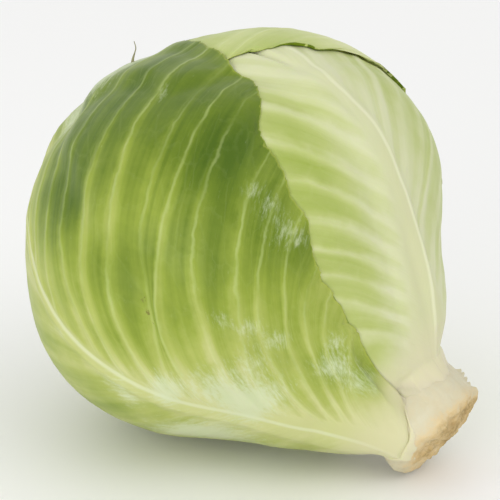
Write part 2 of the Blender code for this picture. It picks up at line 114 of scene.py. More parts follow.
# Heart and stem
HEART_STEP = 0.0012  # how far each folded leaf stands out of what is under it
HEART_LEAF_BLADE = 0.0010
NECK_INNER_END = 0.0712
STUB_PROFILE = (  # distance along the stem, radius
    (0.0835, 0.0206), (0.0875, 0.0202), (0.0915, 0.0206), (0.0945, 0.0212), (0.0975, 0.0212),
    (0.1005, 0.0207), (0.1032, 0.0196), (0.1054, 0.0166), (0.1062, 0.0120), (0.1074, 0.0070),
    (0.1080, 0.0000),
)
STEM_GAP_ANGLE = 0.6  # degrees between the feet of the leaves and the stem
CLASP_SPREAD = 16.0  # degrees about the stem beyond the foot of the outermost leaf, and as many to fade
RAGGED_FROM = 0.0980  # distance along the stem from which it is torn
RAGGED_FULL = 0.1040
RAGGED_DEPTH = 0.0024
RAGGED_WAVES = ((3, 0.8, 0.5), (7, 2.0, 0.3), (17, 4.0, 0.2))  # waves about the stem, phase, share
RAGGED_OUTSIDE = 0.5  # share of that depth on the stem's outside
RAGGED_END = 0.6  # and on its cut end
CUT_EVEN_RADIUS = 0.012  # inside which the cut end grows even

# The head's own axes
TILT = math.radians(STEM_TILT)
STEM_AXIS = np.array((math.cos(TILT), 0, -math.sin(TILT)))
UPPER_SIDE = np.array((math.sin(TILT), 0, math.cos(TILT)))
BACK_SIDE = np.array((0.0, 1.0, 0.0))

# Fine grid of a blade
WRAPPER_GRID = (400, 92)  # rows, and columns on each side of the midrib
HIDDEN_GRID = (220, 56)
HEART_GRID = (130, 34)
MARGIN_BAND = 0.045  # share of the blade along its margin that has finer columns
MARGIN_COLUMNS = 12
INNER_STRIDE = 4  # the inner face takes every fourth row and column of the outer one

# Fine relief
LUMP_SIZE = 0.2  # share of the head's radius
LUMP_DEPTH = 0.0005
CREASE_SIZE = 0.075
CREASE_SHARE = 0.3  # of the depth of the lumps
FILL_FADE = 35.0  # degrees over which the filled groove under a midrib ends towards the foot
FILL_TIP_FADE = 8.0  # and towards the tip
FINE_MARGIN = 0.25  # share of a blade's thickness that its margin keeps
SHARP_ANGLE = 50.0  # degrees between two faces from which their edge isn't smooth

# Margins that come down onto the leaf below, which comes up to them
SINK_WIDTH = 0.012
SINK_GAP = 0.0002
UNDER_RISE = {  # how far the leaves below come up to a margin, everywhere and beside the stem
    "leaf_back": (0.0011, 0.0),
    "leaf_front": (0.0004, 0.0013),
}
UNDER_RISE_MIDDLE = -2.0  # degrees outside the margin to the middle of the band that comes up
UNDER_RISE_HALF = 5.0  # half its full breadth
UNDER_RISE_FADE = 11.0
RAY_START = 0.12  # from the head's centre, outside every leaf
RAY_LENGTH = 0.08
LIP_WIDTH = 0.0022
TOOTH_SIZES = ((0.0045, 0.70), (0.0016, 0.65))  # length of the teeth of a margin, and degrees
TEETH_REACH = 0.11  # metres along a margin for each radian about the leaf's middle
TEETH_FADE = 0.012  # how far from the margin its teeth are felt
TEETH_START = 1 / 24  # share of the rows, from the foot, over which they start

# Feet of the leaves
FOOT_ROWS = 14
FOOT_EDGE = -0.0008  # how far above the stem's surface a foot ends, out of sight under it
FOOT_LIFT = 0.0008  # how far its middle rows stand out
FOOT_SIDES = 0.5  # how much less far it reaches at its corners
FOOT_WAVES = ((9, 1, 0.08), (23, 0, 0.06))  # waves about the stem, share of the leaf's phase, of its reach
DRAWN_FROM = 0.0370  # distance from the stem's axis inside which a leaf is drawn down along the stem
DRAWN_FULL = 0.0220
DRAWN_FADE = 32.0  # degrees beside the foot over which it fades
FOOT_SINK = 0.0014  # how much further a margin comes down beside the foot
FOOT_SINK_FADE = 24.0  # degrees from the foot over which it does
FOOT_SHARE = 0.7  # of the colour of the stem, where a leaf leaves it
FOOT_SHARE_FADE = 12.5  # degrees from the foot over which that is lost

# Veins
VEIN_STATIONS = (0.12, 0.3, 0.5, 0.8)  # share of the way from the midrib to the margin
VEIN_DROP = (0.8, 0.4, 0.12, 0.0)  # how many rows lower an ordinary side vein is at each of them
VEIN_FOOT_DROP = 0.35  # and how much lower again on the midrib
VEIN_SPACING = 0.9  # rows
VEIN_START = 0.06  # share of the way to the margin over which a vein rises
VEIN_SINKING = 0.6  # share of its height that it loses on the way
VEIN_RIB_FADE = 0.0016  # height of the midrib in which the side veins are lost

# The crest of a fine midrib, steep on its right
CREST_LEAST_SPAN = 3.5  # degrees on the right
CREST_MORE_LEFT = 2.5
CREST_SHARP = 0.25  # share of its height that ends in an edge


@dataclass
class Leaf:
    """One blade. Its outline is (degrees from the foot, degrees from the middle), per side."""

    name: str
    turn: float
    foot_angle: float
    tip: float
    right: tuple
    left: tuple
    blade: float
    midrib_height: float
    midrib_width: float
    ribs: int
    wave: float = 0.9
    phase: float = 0.0
    sinking: float = MIDRIB_SINKING  # of the fine midrib
    crest: tuple = ((-90, 0), (90, 0))  # degrees towards the tip, degrees its crest is to the right
    filled: tuple = ()  # from where to where along y the groove under the midrib is filled
    vein_height: float = 0.0004
    vein_breadth: float = 0.0011
    sink: float = 0.0013  # how far at most its margin comes down
    foot_reach: float = 0.009  # how far its foot runs down the stem
    foot_fullness: float = 0.0050  # how far the leaf is drawn down along the stem above its foot
    foot_breadth: tuple = (10.0, 10.0)  # degrees left and right of the midrib where that is full
    veins: dict = field(default_factory=dict)  # per side, 1 for the right and -1 for the left
    bends: dict = field(default_factory=dict)  # of the margin: degrees from the foot, degrees outwards
    lips: dict = field(default_factory=dict)  # degrees from the foot, degrees that the margin curls up


# Where the side veins run that the photo shows: rows at each of VEIN_STATIONS, strength
FRONT_VEINS = (
    ((0.30, 0.50, 0.75, 1.05), 0.5), ((0.65, 0.85, 1.10, 1.62), 0.6),
    ((1.00, 1.27, 1.55, 2.10), 0.7), ((1.45, 1.78, 2.15, 3.00), 0.8),
    ((1.90, 2.70, 3.30, 3.60), 0.8), ((3.35, 3.66, 3.86, 4.10), 1.0),
    ((4.05, 4.70, 5.27, 5.40), 0.8), ((5.60, 6.10, 6.10, 6.03), 1.0),
    ((6.10, 6.22, 6.50, 6.55), 0.55), ((6.76, 7.28, 7.33, 7.60), 1.0),
    ((7.70, 8.10, 8.29, 8.35), 0.75), ((8.25, 8.95, 9.30, 9.25), 0.7),
    ((9.55, 9.80, 10.10, 10.10), 0.7), ((10.50, 10.70, 10.90, 10.90), 0.6),
    ((11.30, 11.50, 11.70, 11.70), 0.6), ((12.10, 12.30, 12.45, 12.40), 0.5),
)
UNDER_ROWS = (0.3, 1.4, 2.4, 3.6, 4.7, 5.7, 6.9, 8, 9.1, 10.2, 11.3, 12.2)
UNDER_VEINS = tuple(((row, row + 0.25, row + 0.5, row + 0.6), 0.25) for row in UNDER_ROWS)
UPPER_VEINS = (
    ((0.40, 0.60, 0.95, 1.20), 0.8), ((1.20, 1.45, 1.85, 2.20), 0.9),
    ((1.90, 2.20, 2.65, 3.00), 0.9), ((2.70, 3.05, 3.45, 3.80), 1.0),
    ((3.40, 3.85, 4.12, 4.30), 1.0), ((4.20, 4.75, 5.15, 5.35), 1.0),
    ((5.20, 5.70, 6.15, 6.40), 1.0), ((6.20, 6.85, 7.15, 7.40), 0.8),
    ((7.10, 7.70, 8.00, 8.20), 0.7), ((8.10, 8.60, 8.90, 9.00), 0.6),
    ((9.00, 9.40, 9.70, 9.80), 0.6), ((10.00, 10.30, 10.50, 10.60), 0.6),
)

OUTER_LEAF = Leaf(
    name="leaf_front",
    turn=-107.7,
    foot_angle=OUTER_FOOT_ANGLE,
    tip=84,
    right=(
        (31, 78), (51, 71), (69, 72.8), (86, 75), (95, 81.5), (108, 85.4), (128, 91), (140, 95),
        (160, 90),
    ),
    left=((17, 92), (26, 97), (40, 100), (58, 99), (75, 97), (95, 92), (120, 86), (145, 88), (165, 86)),
    blade=0.0012,
    midrib_height=0.0032,
    midrib_width=10.5,
    ribs=13,
    phase=0.4,
    veins={1: FRONT_VEINS, -1: UNDER_VEINS},
    foot_reach=0.0036,
    foot_fullness=0.0085,
    foot_breadth=(-4.0, 22.0),
    bends={
        1: (
            (8, 0), (12.5, -9.0), (16, -7.6), (18.5, -5.5), (22.5, -3.4), (26, -1.7), (30, -0.5),
            (34, -2.3), (39, -0.7), (45, 0.3), (48, -0.5), (53, 1.6), (59, 1.7), (66, 0.3),
            (72, -0.6), (76, 0.2), (83.5, 2.0), (89, 0), (93, -1.9), (98, 0), (105, 3.3),
            (108.5, 1.8), (112, 0.7), (117, 3.3), (120.5, 4.8), (124, 3.6), (127, 2.2),
            (132.5, 2.7), (138, 0.9), (143, 2.5), (160, 0),
        )
    },
)
BACK_LEAF = Leaf(
    name="leaf_back",
    turn=94.8,
    foot_angle=FOOT_ANGLE,
    tip=101,
    right=((18, 88), (30, 91), (50, 90), (80, 92), (100, 93), (125, 96), (150, 102)),
    left=(
        (20, 74), (35, 64), (55, 57), (74, 55), (85, 60), (93, 73), (98, 84), (105, 94), (114, 105),
        (124, 113), (145, 109),
    ),
    blade=0.0011,
    midrib_height=0.0034,
    midrib_width=11.0,
    ribs=12,
    phase=2.1,
    sink=0.0004,
    bends={
        -1: (
            (76, 0), (81, 3.0), (86, 1.5), (90, 0), (93, 0), (95, -4.0), (97, -6.5), (99, -4.0),
            (101, -1.2), (104, -1.5), (108, -3.5), (111, -3.6), (116, -5.4), (120, -5.0),
            (127, -3.0), (133, 0),
        )
    },
    lips={
        -1: (
            (79.5, 0), (82, 95), (90.5, 105), (92.2, 12), (94, 30), (101, 35), (103.5, 100),
            (108, 92), (110, 22), (120, 8),
        )
    },
)
UPPER_LEAF = Leaf(
    name="leaf_upper",
    turn=-7.2,
    foot_angle=FOOT_ANGLE,
    tip=64,
    right=((20, 80), (35, 68), (55, 58), (80, 55), (105, 58), (130, 62), (155, 65)),
    left=((22, 80), (40, 74), (60, 68), (85, 64), (110, 64), (140, 66), (160, 65)),
    blade=0.0011,
    midrib_height=0.0040,
    midrib_width=12.5,
    ribs=11,
    phase=3.3,
    sinking=3.2,
    filled=(-35, 3),
    crest=(
        (-82, 1.5), (-68, 2.8), (-60, 4.2), (-52, 4.9), (-44, 4.6), (-34, 3.5), (-16, 3.5),
        (-10, 2.2), (-4, 1.7), (2, 3.4), (10, 5.5),
    ),
    foot_reach=0.0085,
    foot_fullness=0.0036,
    foot_breadth=(10, 0),
    vein_height=0.0005,
    vein_breadth=0.0026,
    veins={-1: UPPER_VEINS},
)
INNER_LEAF = Leaf(
    name="leaf_inner",
    turn=44.8,
    foot_angle=FOOT_ANGLE,
    tip=58,
    right=((22, 80), (40, 70), (60, 60), (90, 56), (120, 57), (150, 60)),
    left=((22, 80), (40, 68), (60, 58), (90, 54), (120, 56), (150, 59)),
    blade=0.0010,
    midrib_height=0.0028,
    midrib_width=10.0,
    ribs=9,
    phase=4.6,
    foot_reach=0.0050,
    foot_fullness=0.0012,
)
WRAPPERS = (INNER_LEAF, UPPER_LEAF, BACK_LEAF, OUTER_LEAF)  # innermost first

HEART_LEAVES = tuple(
    Leaf(
        name=f"heart_leaf_{number}",
        turn=-60 + 137.5 * number,
        foot_angle=18,
        tip=92,
        right=((20, 82), (40, 78), (65, 72), (90, 74), (120, 80), (150, 88)),
        left=((20, 80), (40, 74), (65, 70), (90, 72), (120, 82), (150, 90)),
        blade=HEART_STEP,
        midrib_height=0.0010,
        midrib_width=8.0,
        ribs=9,
        phase=1.3 * number,
    )
    for number in range(3)
)


# Shape of the head, as in the solids


def curve(knots, at):
    """A smooth curve through the knots."""
    places, values = np.array(knots, float).T
    slopes = np.gradient(values, places)
    piece = np.clip(np.searchsorted(places, at, side="right") - 1, 0, len(places) - 2)
    width = places[piece + 1] - places[piece]
    t = np.clip((at - places[piece]) / width, 0, 1)
    start = (1 + 2 * t) * (1 - t) ** 2 * values[piece] + t * (1 - t) ** 2 * width * slopes[piece]
    end = t * t * (3 - 2 * t) * values[piece + 1] + t * t * (t - 1) * width * slopes[piece + 1]
    return start + end


def fade(distance, width):
    """1 up to a distance of 0, falling smoothly to 0 at the width."""
    t = np.clip(distance / width, 0, 1)
    return 1 - t * t * (3 - 2 * t)


def share_of(value, start, end):
    """0 up to the start, 1 from the end on."""
    return np.clip((value - start) / (end - start), 0, 1)


def angle_from(axis, directions):
    """Degrees between each direction and an axis."""
    return np.degrees(np.arccos(np.clip(directions @ axis, -1, 1)))


def turned_from(start, turn):
    """Degrees about the stem from a turn in degrees to one in radians, -180 to 180."""
    return np.degrees(np.angle(np.exp(1j * (turn - math.radians(start)))))


def direction(from_stem, turn):
    angle = np.radians(from_stem)[..., None]
    around = np.radians(turn)[..., None]
    side = np.cos(around) * UPPER_SIDE + np.sin(around) * BACK_SIDE
    return np.cos(angle) * STEM_AXIS + np.sin(angle) * side


def leaf_axes(leaf):
    """The direction of the leaf's middle, its right and its tip."""
    middle = direction(np.array(LEAF_CENTRE), np.array(leaf.turn))
    towards_tip = middle * (STEM_AXIS @ middle) - STEM_AXIS
    towards_tip /= np.linalg.norm(towards_tip)
    turn = math.radians(leaf.turn)
    towards_right = math.cos(turn) * BACK_SIDE - math.sin(turn) * UPPER_SIDE
    return middle, towards_right, towards_tip


def from_leaf(leaf, x, y):
    """Directions of points given in degrees to the right of the leaf's middle and towards its tip."""
    middle, towards_right, towards_tip = leaf_axes(leaf)
    reach = np.radians(np.hypot(x, y))
    scale = np.sinc(reach / np.pi)
    flat = np.radians(x)[..., None] * towards_right + np.radians(y)[..., None] * towards_tip
    return np.cos(reach)[..., None] * middle + scale[..., None] * flat


def to_leaf(leaf, directions):
    middle, towards_right, towards_tip = leaf_axes(leaf)
    reach = np.arccos(np.clip(directions @ middle, -1, 1))
    scale = np.degrees(reach) / np.maximum(np.sin(reach), 1e-9)
    return directions @ towards_right * scale, directions @ towards_tip * scale


def foot(leaf):
    """Degrees from the leaf's middle to its foot."""
    return LEAF_CENTRE - leaf.foot_angle


def corner(leaf):
    """Where each corner of the leaf's foot is: degrees about its middle, and from it."""
    x, y = to_leaf(leaf, direction(np.array([leaf.foot_angle]), np.array([leaf.turn + FOOT_SPREAD])))
    return float(around_leaf(x, y)[0]), float(np.hypot(x, y)[0])


def outline(leaf, around):
    """Degrees from the leaf's middle to its margin; around is from the foot, positive to the right."""
    sides = []
    for knots in (leaf.right, leaf.left):
        whole = ((0, foot(leaf)), corner(leaf), *knots, (180, leaf.tip))
        sides.append(curve(whole, np.abs(around)))
    reach = np.where(around >= 0, sides[0], sides[1])
    wavy = share_of(np.abs(around), WAVES_START, WAVES_FULL)
    wavy = wavy * np.clip((180 - np.abs(around)) / WAVES_TIP_FADE, 0, 1)
    for waves, phases, share in MARGIN_WAVES:
        reach = reach + leaf.wave * wavy * share * np.sin(waves * np.radians(around) + phases * leaf.phase)
    return reach


def around_leaf(x, y):
    return np.degrees(np.arctan2(x, -y))


def cover(leaf, directions, width):
    """How much of the leaf lies at each direction: 1 on it, fading out beyond its margin."""
    x, y = to_leaf(leaf, directions)
    return fade(np.hypot(x, y) - outline(leaf, around_leaf(x, y)), width)


def along_leaf(leaf, y):
    """0 at the leaf's foot, 1 at its tip."""
    return np.clip((y + foot(leaf)) / (foot(leaf) + leaf.tip), 0, 1)


def midrib_size(leaf, y, sinking):
    """The midrib's width on each side in degrees, and its height, narrower and lower towards the tip."""
    left = 1 - along_leaf(leaf, y)
    width = MIDRIB_TIP_WIDTH + (leaf.midrib_width - MIDRIB_TIP_WIDTH) * left**MIDRIB_NARROWING
    return width, leaf.midrib_height * (MIDRIB_TIP_HEIGHT + (1 - MIDRIB_TIP_HEIGHT) * left**sinking)


def midrib(leaf, x, y):
    """Height of the midrib, a broad roof."""
    width, height = midrib_size(leaf, y, MIDRIB_SINKING)
    return height * fade(np.abs(x), width)


def envelope(directions):
    """Radius of the whole head."""
    from_stem = angle_from(STEM_AXIS, directions)
    x, y, z = directions.T
    lumps = np.sin(5 * x + 1.0) * np.sin(4 * y + 0.5) + 0.6 * np.sin(7 * z + 2 * x)
    radius = curve(HEAD_PROFILE, from_stem) + SWELL * lumps
    for angle, turn, spread, height in BULGES:
        middle = direction(np.array(float(angle)), np.array(float(turn)))
        radius = radius + height * np.exp(-((angle_from(middle, directions) / spread) ** 2))
    turns = np.arctan2(directions @ BACK_SIDE, directions @ UPPER_SIDE)
    towards_foot = fade(np.abs(turned_from(OUTER_LEAF.turn, turns)) - FOOT_SPREAD, NECK_SIDES)
    neck = np.clip((NECK_END - from_stem) / (NECK_END - OUTER_FOOT_ANGLE), 0, None)
    return radius + NECK_RISE * towards_foot * neck**NECK_EASE


def layer(leaf, directions):
    """How far a leaf lifts what covers it, where it lies."""
    x, y = to_leaf(leaf, directions)
    return leaf.blade + CLEARANCE + midrib(leaf, x, y)


def heart_radius(directions):
    """Radius of the heart, which leaves room for the leaves round it."""
    radius = envelope(directions)
    for leaf in WRAPPERS:
        radius = radius - layer(leaf, directions) * cover(leaf, directions, SETTLE_FADE)
    return radius


def inner_radius(leaf, directions):
    """Radius of a leaf's inner face: the heart and every leaf below it."""
    radius = heart_radius(directions) + CLEARANCE
    for below in WRAPPERS[: WRAPPERS.index(leaf)]:
        radius = radius + layer(below, directions) * cover(below, directions, MARGIN_FADE)
    return radius


def core_radius(directions):
    return heart_radius(directions) - HEART_STEP * len(HEART_LEAVES)


def heart_leaf_radius(leaf, directions):
    """Radius of the inner face of a heart leaf: the outermost of them reaches the heart's own radius."""
    number = HEART_LEAVES.index(leaf)
    covered = [cover(below, directions, MARGIN_FADE) for below in HEART_LEAVES[:number]]
    return core_radius(directions) + HEART_STEP * (1 + sum(covered)) - HEART_LEAF_BLADE


def pressed(directions, points):
    """Points lifted where the whole head, resting under its own weight, is pressed flat."""
    height = HEAD_CENTRE[2] + envelope(directions) * directions[:, 2]
    depth = -PRESS_TRIM - height
    lift = np.where(depth < PRESS_BLEND, (depth + PRESS_BLEND) ** 2 / (4 * PRESS_BLEND), depth)
    lift = np.where(depth < -PRESS_BLEND, 0, lift)
    return points + lift[:, None] * np.array((0, 0, 1))


def blade_rows(leaf, across, row):
    """Places on the leaf. Rows run from the midrib to the margin along the side ribs."""
    side = np.where(across < 0, -1, 1)
    start_y = -foot(leaf) + (LAST_RIB_START * leaf.tip + foot(leaf)) * row**RIB_STARTS_EASE
    around = np.linspace(corner(leaf)[0], 180, MARGIN_STEPS)
    end_x = np.zeros(len(row))
    end_y = np.zeros(len(row))
    for sign in (-1, 1):
        reach = outline(leaf, sign * around)
        margin_x = sign * reach * np.sin(np.radians(around))
        margin_y = -reach * np.cos(np.radians(around))
        length = np.append(0, np.cumsum(np.hypot(np.diff(margin_x), np.diff(margin_y))))
        share = length[-1] * row**RIB_ENDS_EASE
        end_x = np.where(side == sign, np.interp(share, length, margin_x), end_x)
        end_y = np.where(side == sign, np.interp(share, length, margin_y), end_y)
    run_x = end_x
    run_y = end_y - start_y
    bend = np.radians(RIB_BEND) * (1 - row) * (1 - 3 * row) * side
    early_x = run_x * np.cos(bend) - run_y * np.sin(bend)
    early_y = run_x * np.sin(bend) + run_y * np.cos(bend)
    t = np.abs(across) ** COLUMN_CROWDING
    x = t * (1 - t) * early_x + t * t * run_x
    y = start_y + t * (1 - t) * early_y + t * t * run_y
    return x, y


# Fine shape


def noise_at(places, size, seed=0.0):
    """Smooth noise from about -1 to 1, whose lumps are of the given size."""
    shift = np.array((seed * 7.3, seed * 3.1, seed * 5.7))
    return np.array([noise.noise(Vector(place)) for place in places / size + shift])


def side_veins(leaf, side):
    """The side veins of one half of a leaf, as rows at each of VEIN_STATIONS and a strength."""
    if side in leaf.veins:
        return leaf.veins[side]
    veins = []
    for number in range(int((leaf.ribs - 0.4) / VEIN_SPACING)):
        swing = math.sin(2.4 * number + 3.7 * leaf.phase + side)
        row = 0.75 + 0.2 * side + VEIN_SPACING * (number + 0.22 * swing)
        veins.append((tuple(row - drop for drop in VEIN_DROP), 0.75 + 0.25 * swing))
    return tuple(veins)


def vein_field(leaf, across, rows):
    """How many veins are below each row and column, in whole and parts, and the nearest one's strength."""
    phase = np.zeros((len(rows), len(across)))
    strength = np.zeros_like(phase)
    for column, place in enumerate(across):
        veins = side_veins(leaf, 1 if place >= 0 else -1)
        crossings = [-1.0]
        for stations, _ in veins:
            knots = ((0, stations[0] - VEIN_FOOT_DROP), *zip(VEIN_STATIONS, stations), (1, stations[-1]))
            crossings.append(float(curve(knots, abs(place))))
        crossings.append(leaf.ribs + 1.0)
        phase[:, column] = np.interp(rows * leaf.ribs, crossings, range(len(crossings)))
        strengths = np.array([0.3] + [power for _, power in veins] + [0.3])
        strength[:, column] = strengths[np.rint(phase[:, column]).astype(int)]
    return phase, strength


def vein_spacing(points, phase):
    """Metres from one side vein to the next, square to them."""
    up, out = np.gradient(points, axis=0), np.gradient(points, axis=1)
    phase_up, phase_out = np.gradient(phase)
    area = np.linalg.norm(np.cross(up, out), axis=2)
    slope = np.linalg.norm(phase_up[..., None] * out - phase_out[..., None] * up, axis=2)
    return np.clip(area / np.maximum(slope, 1e-9), 0.002, 0.03)


def column_places(columns):
    """How far across each column lies, closer together along the margins."""
    wide = np.linspace(0, 1 - MARGIN_BAND, columns - MARGIN_COLUMNS + 1)[:-1]
    half = np.append(wide, np.linspace(1 - MARGIN_BAND, 1, MARGIN_COLUMNS + 1))
    return np.concatenate((-half[:0:-1], half))


def margin_distance(points):
    """Metres from each point along its row to the leaf's margin."""
    steps = np.linalg.norm(np.diff(points, axis=1), axis=2)
    middle = points.shape[1] // 2
    left = np.cumsum(steps[:, :middle], axis=1)
    right = np.cumsum(steps[:, : middle - 1 : -1], axis=1)[:, ::-1]
    none = np.zeros((len(points), 1))
    nearer = np.minimum(left[:, -1:], right[:, :1])
    return np.concatenate((none, left[:, :-1], nearer, right[:, 1:], none), axis=1)


def ragged_margin(leaf, x, y):
    """How many degrees the margin near each place stands out of the smooth outline."""
    around = around_leaf(x, y)
    reach = np.zeros(len(x))
    for side, bends in leaf.bends.items():
        reach += np.interp(around * side, *np.array(bends).T, left=0, right=0)
    metres = np.radians(around) * TEETH_REACH
    for number, (size, height) in enumerate(TOOTH_SIZES):
        places = np.stack((metres, np.full(len(x), leaf.phase + number), np.zeros(len(x))), axis=1)
        reach += height * noise_at(places / size, 1.0)
    return reach


def rise_below(leaf, directions):
    """How far a leaf comes up to the margins of the leaves that lie on it."""
    rise = np.zeros(len(directions))
    from_stem = angle_from(STEM_AXIS, directions)
    covering = WRAPPERS[WRAPPERS.index(leaf) + 1 :] if leaf in WRAPPERS else ()
    for above in covering:
        x, y = to_leaf(above, directions)
        outside = np.hypot(x, y) - outline(above, around_leaf(x, y))
        everywhere, beside_stem = UNDER_RISE.get(above.name, (0, 0))
        height = everywhere + beside_stem * fade(from_stem - above.foot_angle, FOOT_SINK_FADE)
        rise += height * fade(np.abs(outside - UNDER_RISE_MIDDLE) - UNDER_RISE_HALF, UNDER_RISE_FADE)
    return rise


def surface_under(directions, trees):
    """Radius of the outermost fine surface below each direction."""
    centre = Vector(HEAD_CENTRE)
    radius = np.zeros(len(directions))
    for number, towards in enumerate(directions):
        for tree in trees:
            start = centre + Vector(towards) * RAY_START
            place, _, _, _ = tree.ray_cast(start, -Vector(towards), RAY_LENGTH)
            if place:
                radius[number] = max(radius[number], (place - centre).length)
    return radius


def roof(leaf, x, y):
    """The midrib with its crest off its middle, steep on one side, and how far right of it each place is."""
    width, height = midrib_size(leaf, y, leaf.sinking)
    crest = curve(leaf.crest, y)
    away = x - crest
    span = np.where(away > 0, np.maximum(width - crest, CREST_LEAST_SPAN), width + crest + CREST_MORE_LEFT)
    sharp = np.clip(1 - np.abs(away) / span, 0, 1)
    return height * (CREST_SHARP * sharp**1.3 + (1 - CREST_SHARP) * fade(np.abs(away), span)), away


def curl_lips(leaf, places, x, y, to_margin, thickness):
    """How each inner point moves and which way the blade faces where its margin curls outwards."""
    around = around_leaf(x, y)
    outward = places / np.linalg.norm(places, axis=2, keepdims=True)
    middle = places.shape[1] // 2
    to_right = np.gradient(places, axis=1)
    to_right /= np.maximum(np.linalg.norm(to_right, axis=2, keepdims=True), 1e-12)
    towards_margin = to_right * np.where(np.arange(places.shape[1]) < middle, -1, 1)[None, :, None]
    full = np.zeros(x.shape)
    for side, knots in leaf.lips.items():
        angle = np.interp(around * side, *np.array(knots).T)
        full = np.where(np.sign(around) == side, angle, full)
    full = np.radians(np.maximum(full, 1.0))
    along = np.clip(LIP_WIDTH - to_margin, 0, LIP_WIDTH)
    angle = full * along / LIP_WIDTH
    bend = LIP_WIDTH / full
    inner = places + (bend * np.sin(angle) - along)[..., None] * towards_margin
    inner = inner + (bend * (1 - np.cos(angle)))[..., None] * outward
    facing = np.cos(angle)[..., None] * outward - np.sin(angle)[..., None] * towards_margin
    return inner, inner + thickness[..., None] * facing


def neck_radius(distance, turn):
    """The stem among the feet of the leaves, slimmer where the outermost one clasps it."""
    away = np.abs(turned_from(OUTER_LEAF.turn, turn))
    clasped = fade(away - FOOT_SPREAD - CLASP_SPREAD, CLASP_SPREAD)
    angle = FOOT_ANGLE + (OUTER_FOOT_ANGLE - FOOT_ANGLE) * clasped - STEM_GAP_ANGLE
    return distance * np.tan(np.radians(angle))


def stub_radius(distance, turn):
    """Radius of the whole stem, without its torn parts."""
    return np.minimum(np.interp(distance, *np.array(STUB_PROFILE).T), neck_radius(distance, turn))


def about_stem(points):
    """Distance along the stem, radius about its axis, turn, and the direction away from the axis."""
    distance = points @ STEM_AXIS
    side = points - distance[..., None] * STEM_AXIS
    radius = np.linalg.norm(side, axis=-1)
    side = side / radius[..., None]
    return distance, radius, np.arctan2(side @ BACK_SIDE, side @ UPPER_SIDE), side


def drawn_down(leaf, points):
    """The outer face of a leaf, drawn down along the stem towards the middle of its foot."""
    distance, radius, turn, _ = about_stem(points)
    away = turned_from(leaf.turn, turn)
    beside = np.abs(away) - np.where(away < 0, *leaf.foot_breadth)
    near = share_of(radius, DRAWN_FROM, DRAWN_FULL) * (distance > 0)
    drawn = leaf.foot_fullness * near**3 * fade(beside, DRAWN_FADE)
    return points + drawn[..., None] * STEM_AXIS


def foot_rows(leaf, top):
    """Points that carry a leaf's outer face from its lowest row down onto the stem, the last row first."""
    distance, radius, turn, side = about_stem(top)
    away = np.abs(turned_from(leaf.turn, turn)) / FOOT_SPREAD
    waves = sum(share * np.sin(count * turn + phases * leaf.phase) for count, phases, share in FOOT_WAVES)
    reach = leaf.foot_reach * (1 - FOOT_SIDES * np.clip(away**4, 0, 1)) * (1 + waves)
    lift = FOOT_LIFT * np.clip(6 * (1.02 - away), 0, 1)
    rows = []
    for step in range(FOOT_ROWS, 0, -1):
        share = step / FOOT_ROWS
        along = distance + reach * (0.55 * share + 0.45 * share**2)
        stub = stub_radius(along, turn) + FOOT_EDGE
        rise = np.clip(radius - stub, 0, None) * (1 - share) ** 1.15 + 4 * share * (1 - share) * lift
        rows.append(along[:, None] * STEM_AXIS + (stub + rise)[:, None] * side)
    return np.array(rows)


def grid_ids(rows, columns):
    """Vertex numbers of a grid whose last row is folded on its middle."""
    full = 2 * columns + 1
    body = np.arange(rows * full).reshape(rows, full)
    column = np.arange(full)
    last = rows * full + np.minimum(column, full - 1 - column)
    return np.vstack((body, last))


def faces_between(ids):
    """Four-sided faces of a grid of vertex numbers, facing outwards."""
    corners = np.stack((ids[:-1, :-1], ids[:-1, 1:], ids[1:, 1:], ids[1:, :-1]), axis=-1)
    return corners.reshape(-1, 4).tolist()


def strip(fine, coarse, steps):
    """Triangles between a fine edge and a coarse one, whose points stand at the given steps of the fine."""
    faces = []
    for number, (start, end) in enumerate(zip(steps, steps[1:])):
        middle = (start + end) // 2
        for step in range(start, end):
            tip = coarse[number] if step < middle else coarse[number + 1]
            faces.append((fine[step + 1], fine[step], tip))
        faces.append((fine[middle], coarse[number], coarse[number + 1]))
    return faces


def blade_faces(rows, columns):
    """Faces of both sides of a blade and of the rim between them, and where the inner points are."""
    outer = grid_ids(rows + FOOT_ROWS, columns)
    row_steps = list(range(FOOT_ROWS, rows + FOOT_ROWS + 1, INNER_STRIDE))
    margin = columns - MARGIN_COLUMNS
    half = [*range(0, margin, INNER_STRIDE), *range(margin, columns + 1)]
    column_steps = [columns - step for step in half[:0:-1]] + [columns + step for step in half]
    inner = grid_ids(len(row_steps) - 1, len(half) - 1) + outer.max() + 1
    faces = faces_between(outer) + faces_between(inner[:, ::-1])
    faces += strip(outer[0], inner[0], column_steps)
    side_steps = [0, *row_steps[1:]]
    faces += strip(outer[:, -1], inner[:, -1], side_steps)
    last = rows + FOOT_ROWS
    faces += strip(outer[::-1, 0], inner[::-1, 0], [last - step for step in reversed(side_steps)])
    return outer, inner, row_steps, column_steps, faces


def gathered(values, ids):
    """The values of a grid in the order of its vertex numbers."""
    flat = values.reshape(-1, *values.shape[2:])
    out = np.zeros((ids.max() - ids.min() + 1, *flat.shape[1:]))
    out[ids.reshape(-1)[::-1] - ids.min()] = flat[::-1]
    return out


def with_foot(values):
    """The values of a blade's rows, with those of its lowest row given to the rows of its foot."""
    return np.concatenate((np.repeat(values[:1], FOOT_ROWS, axis=0), values))


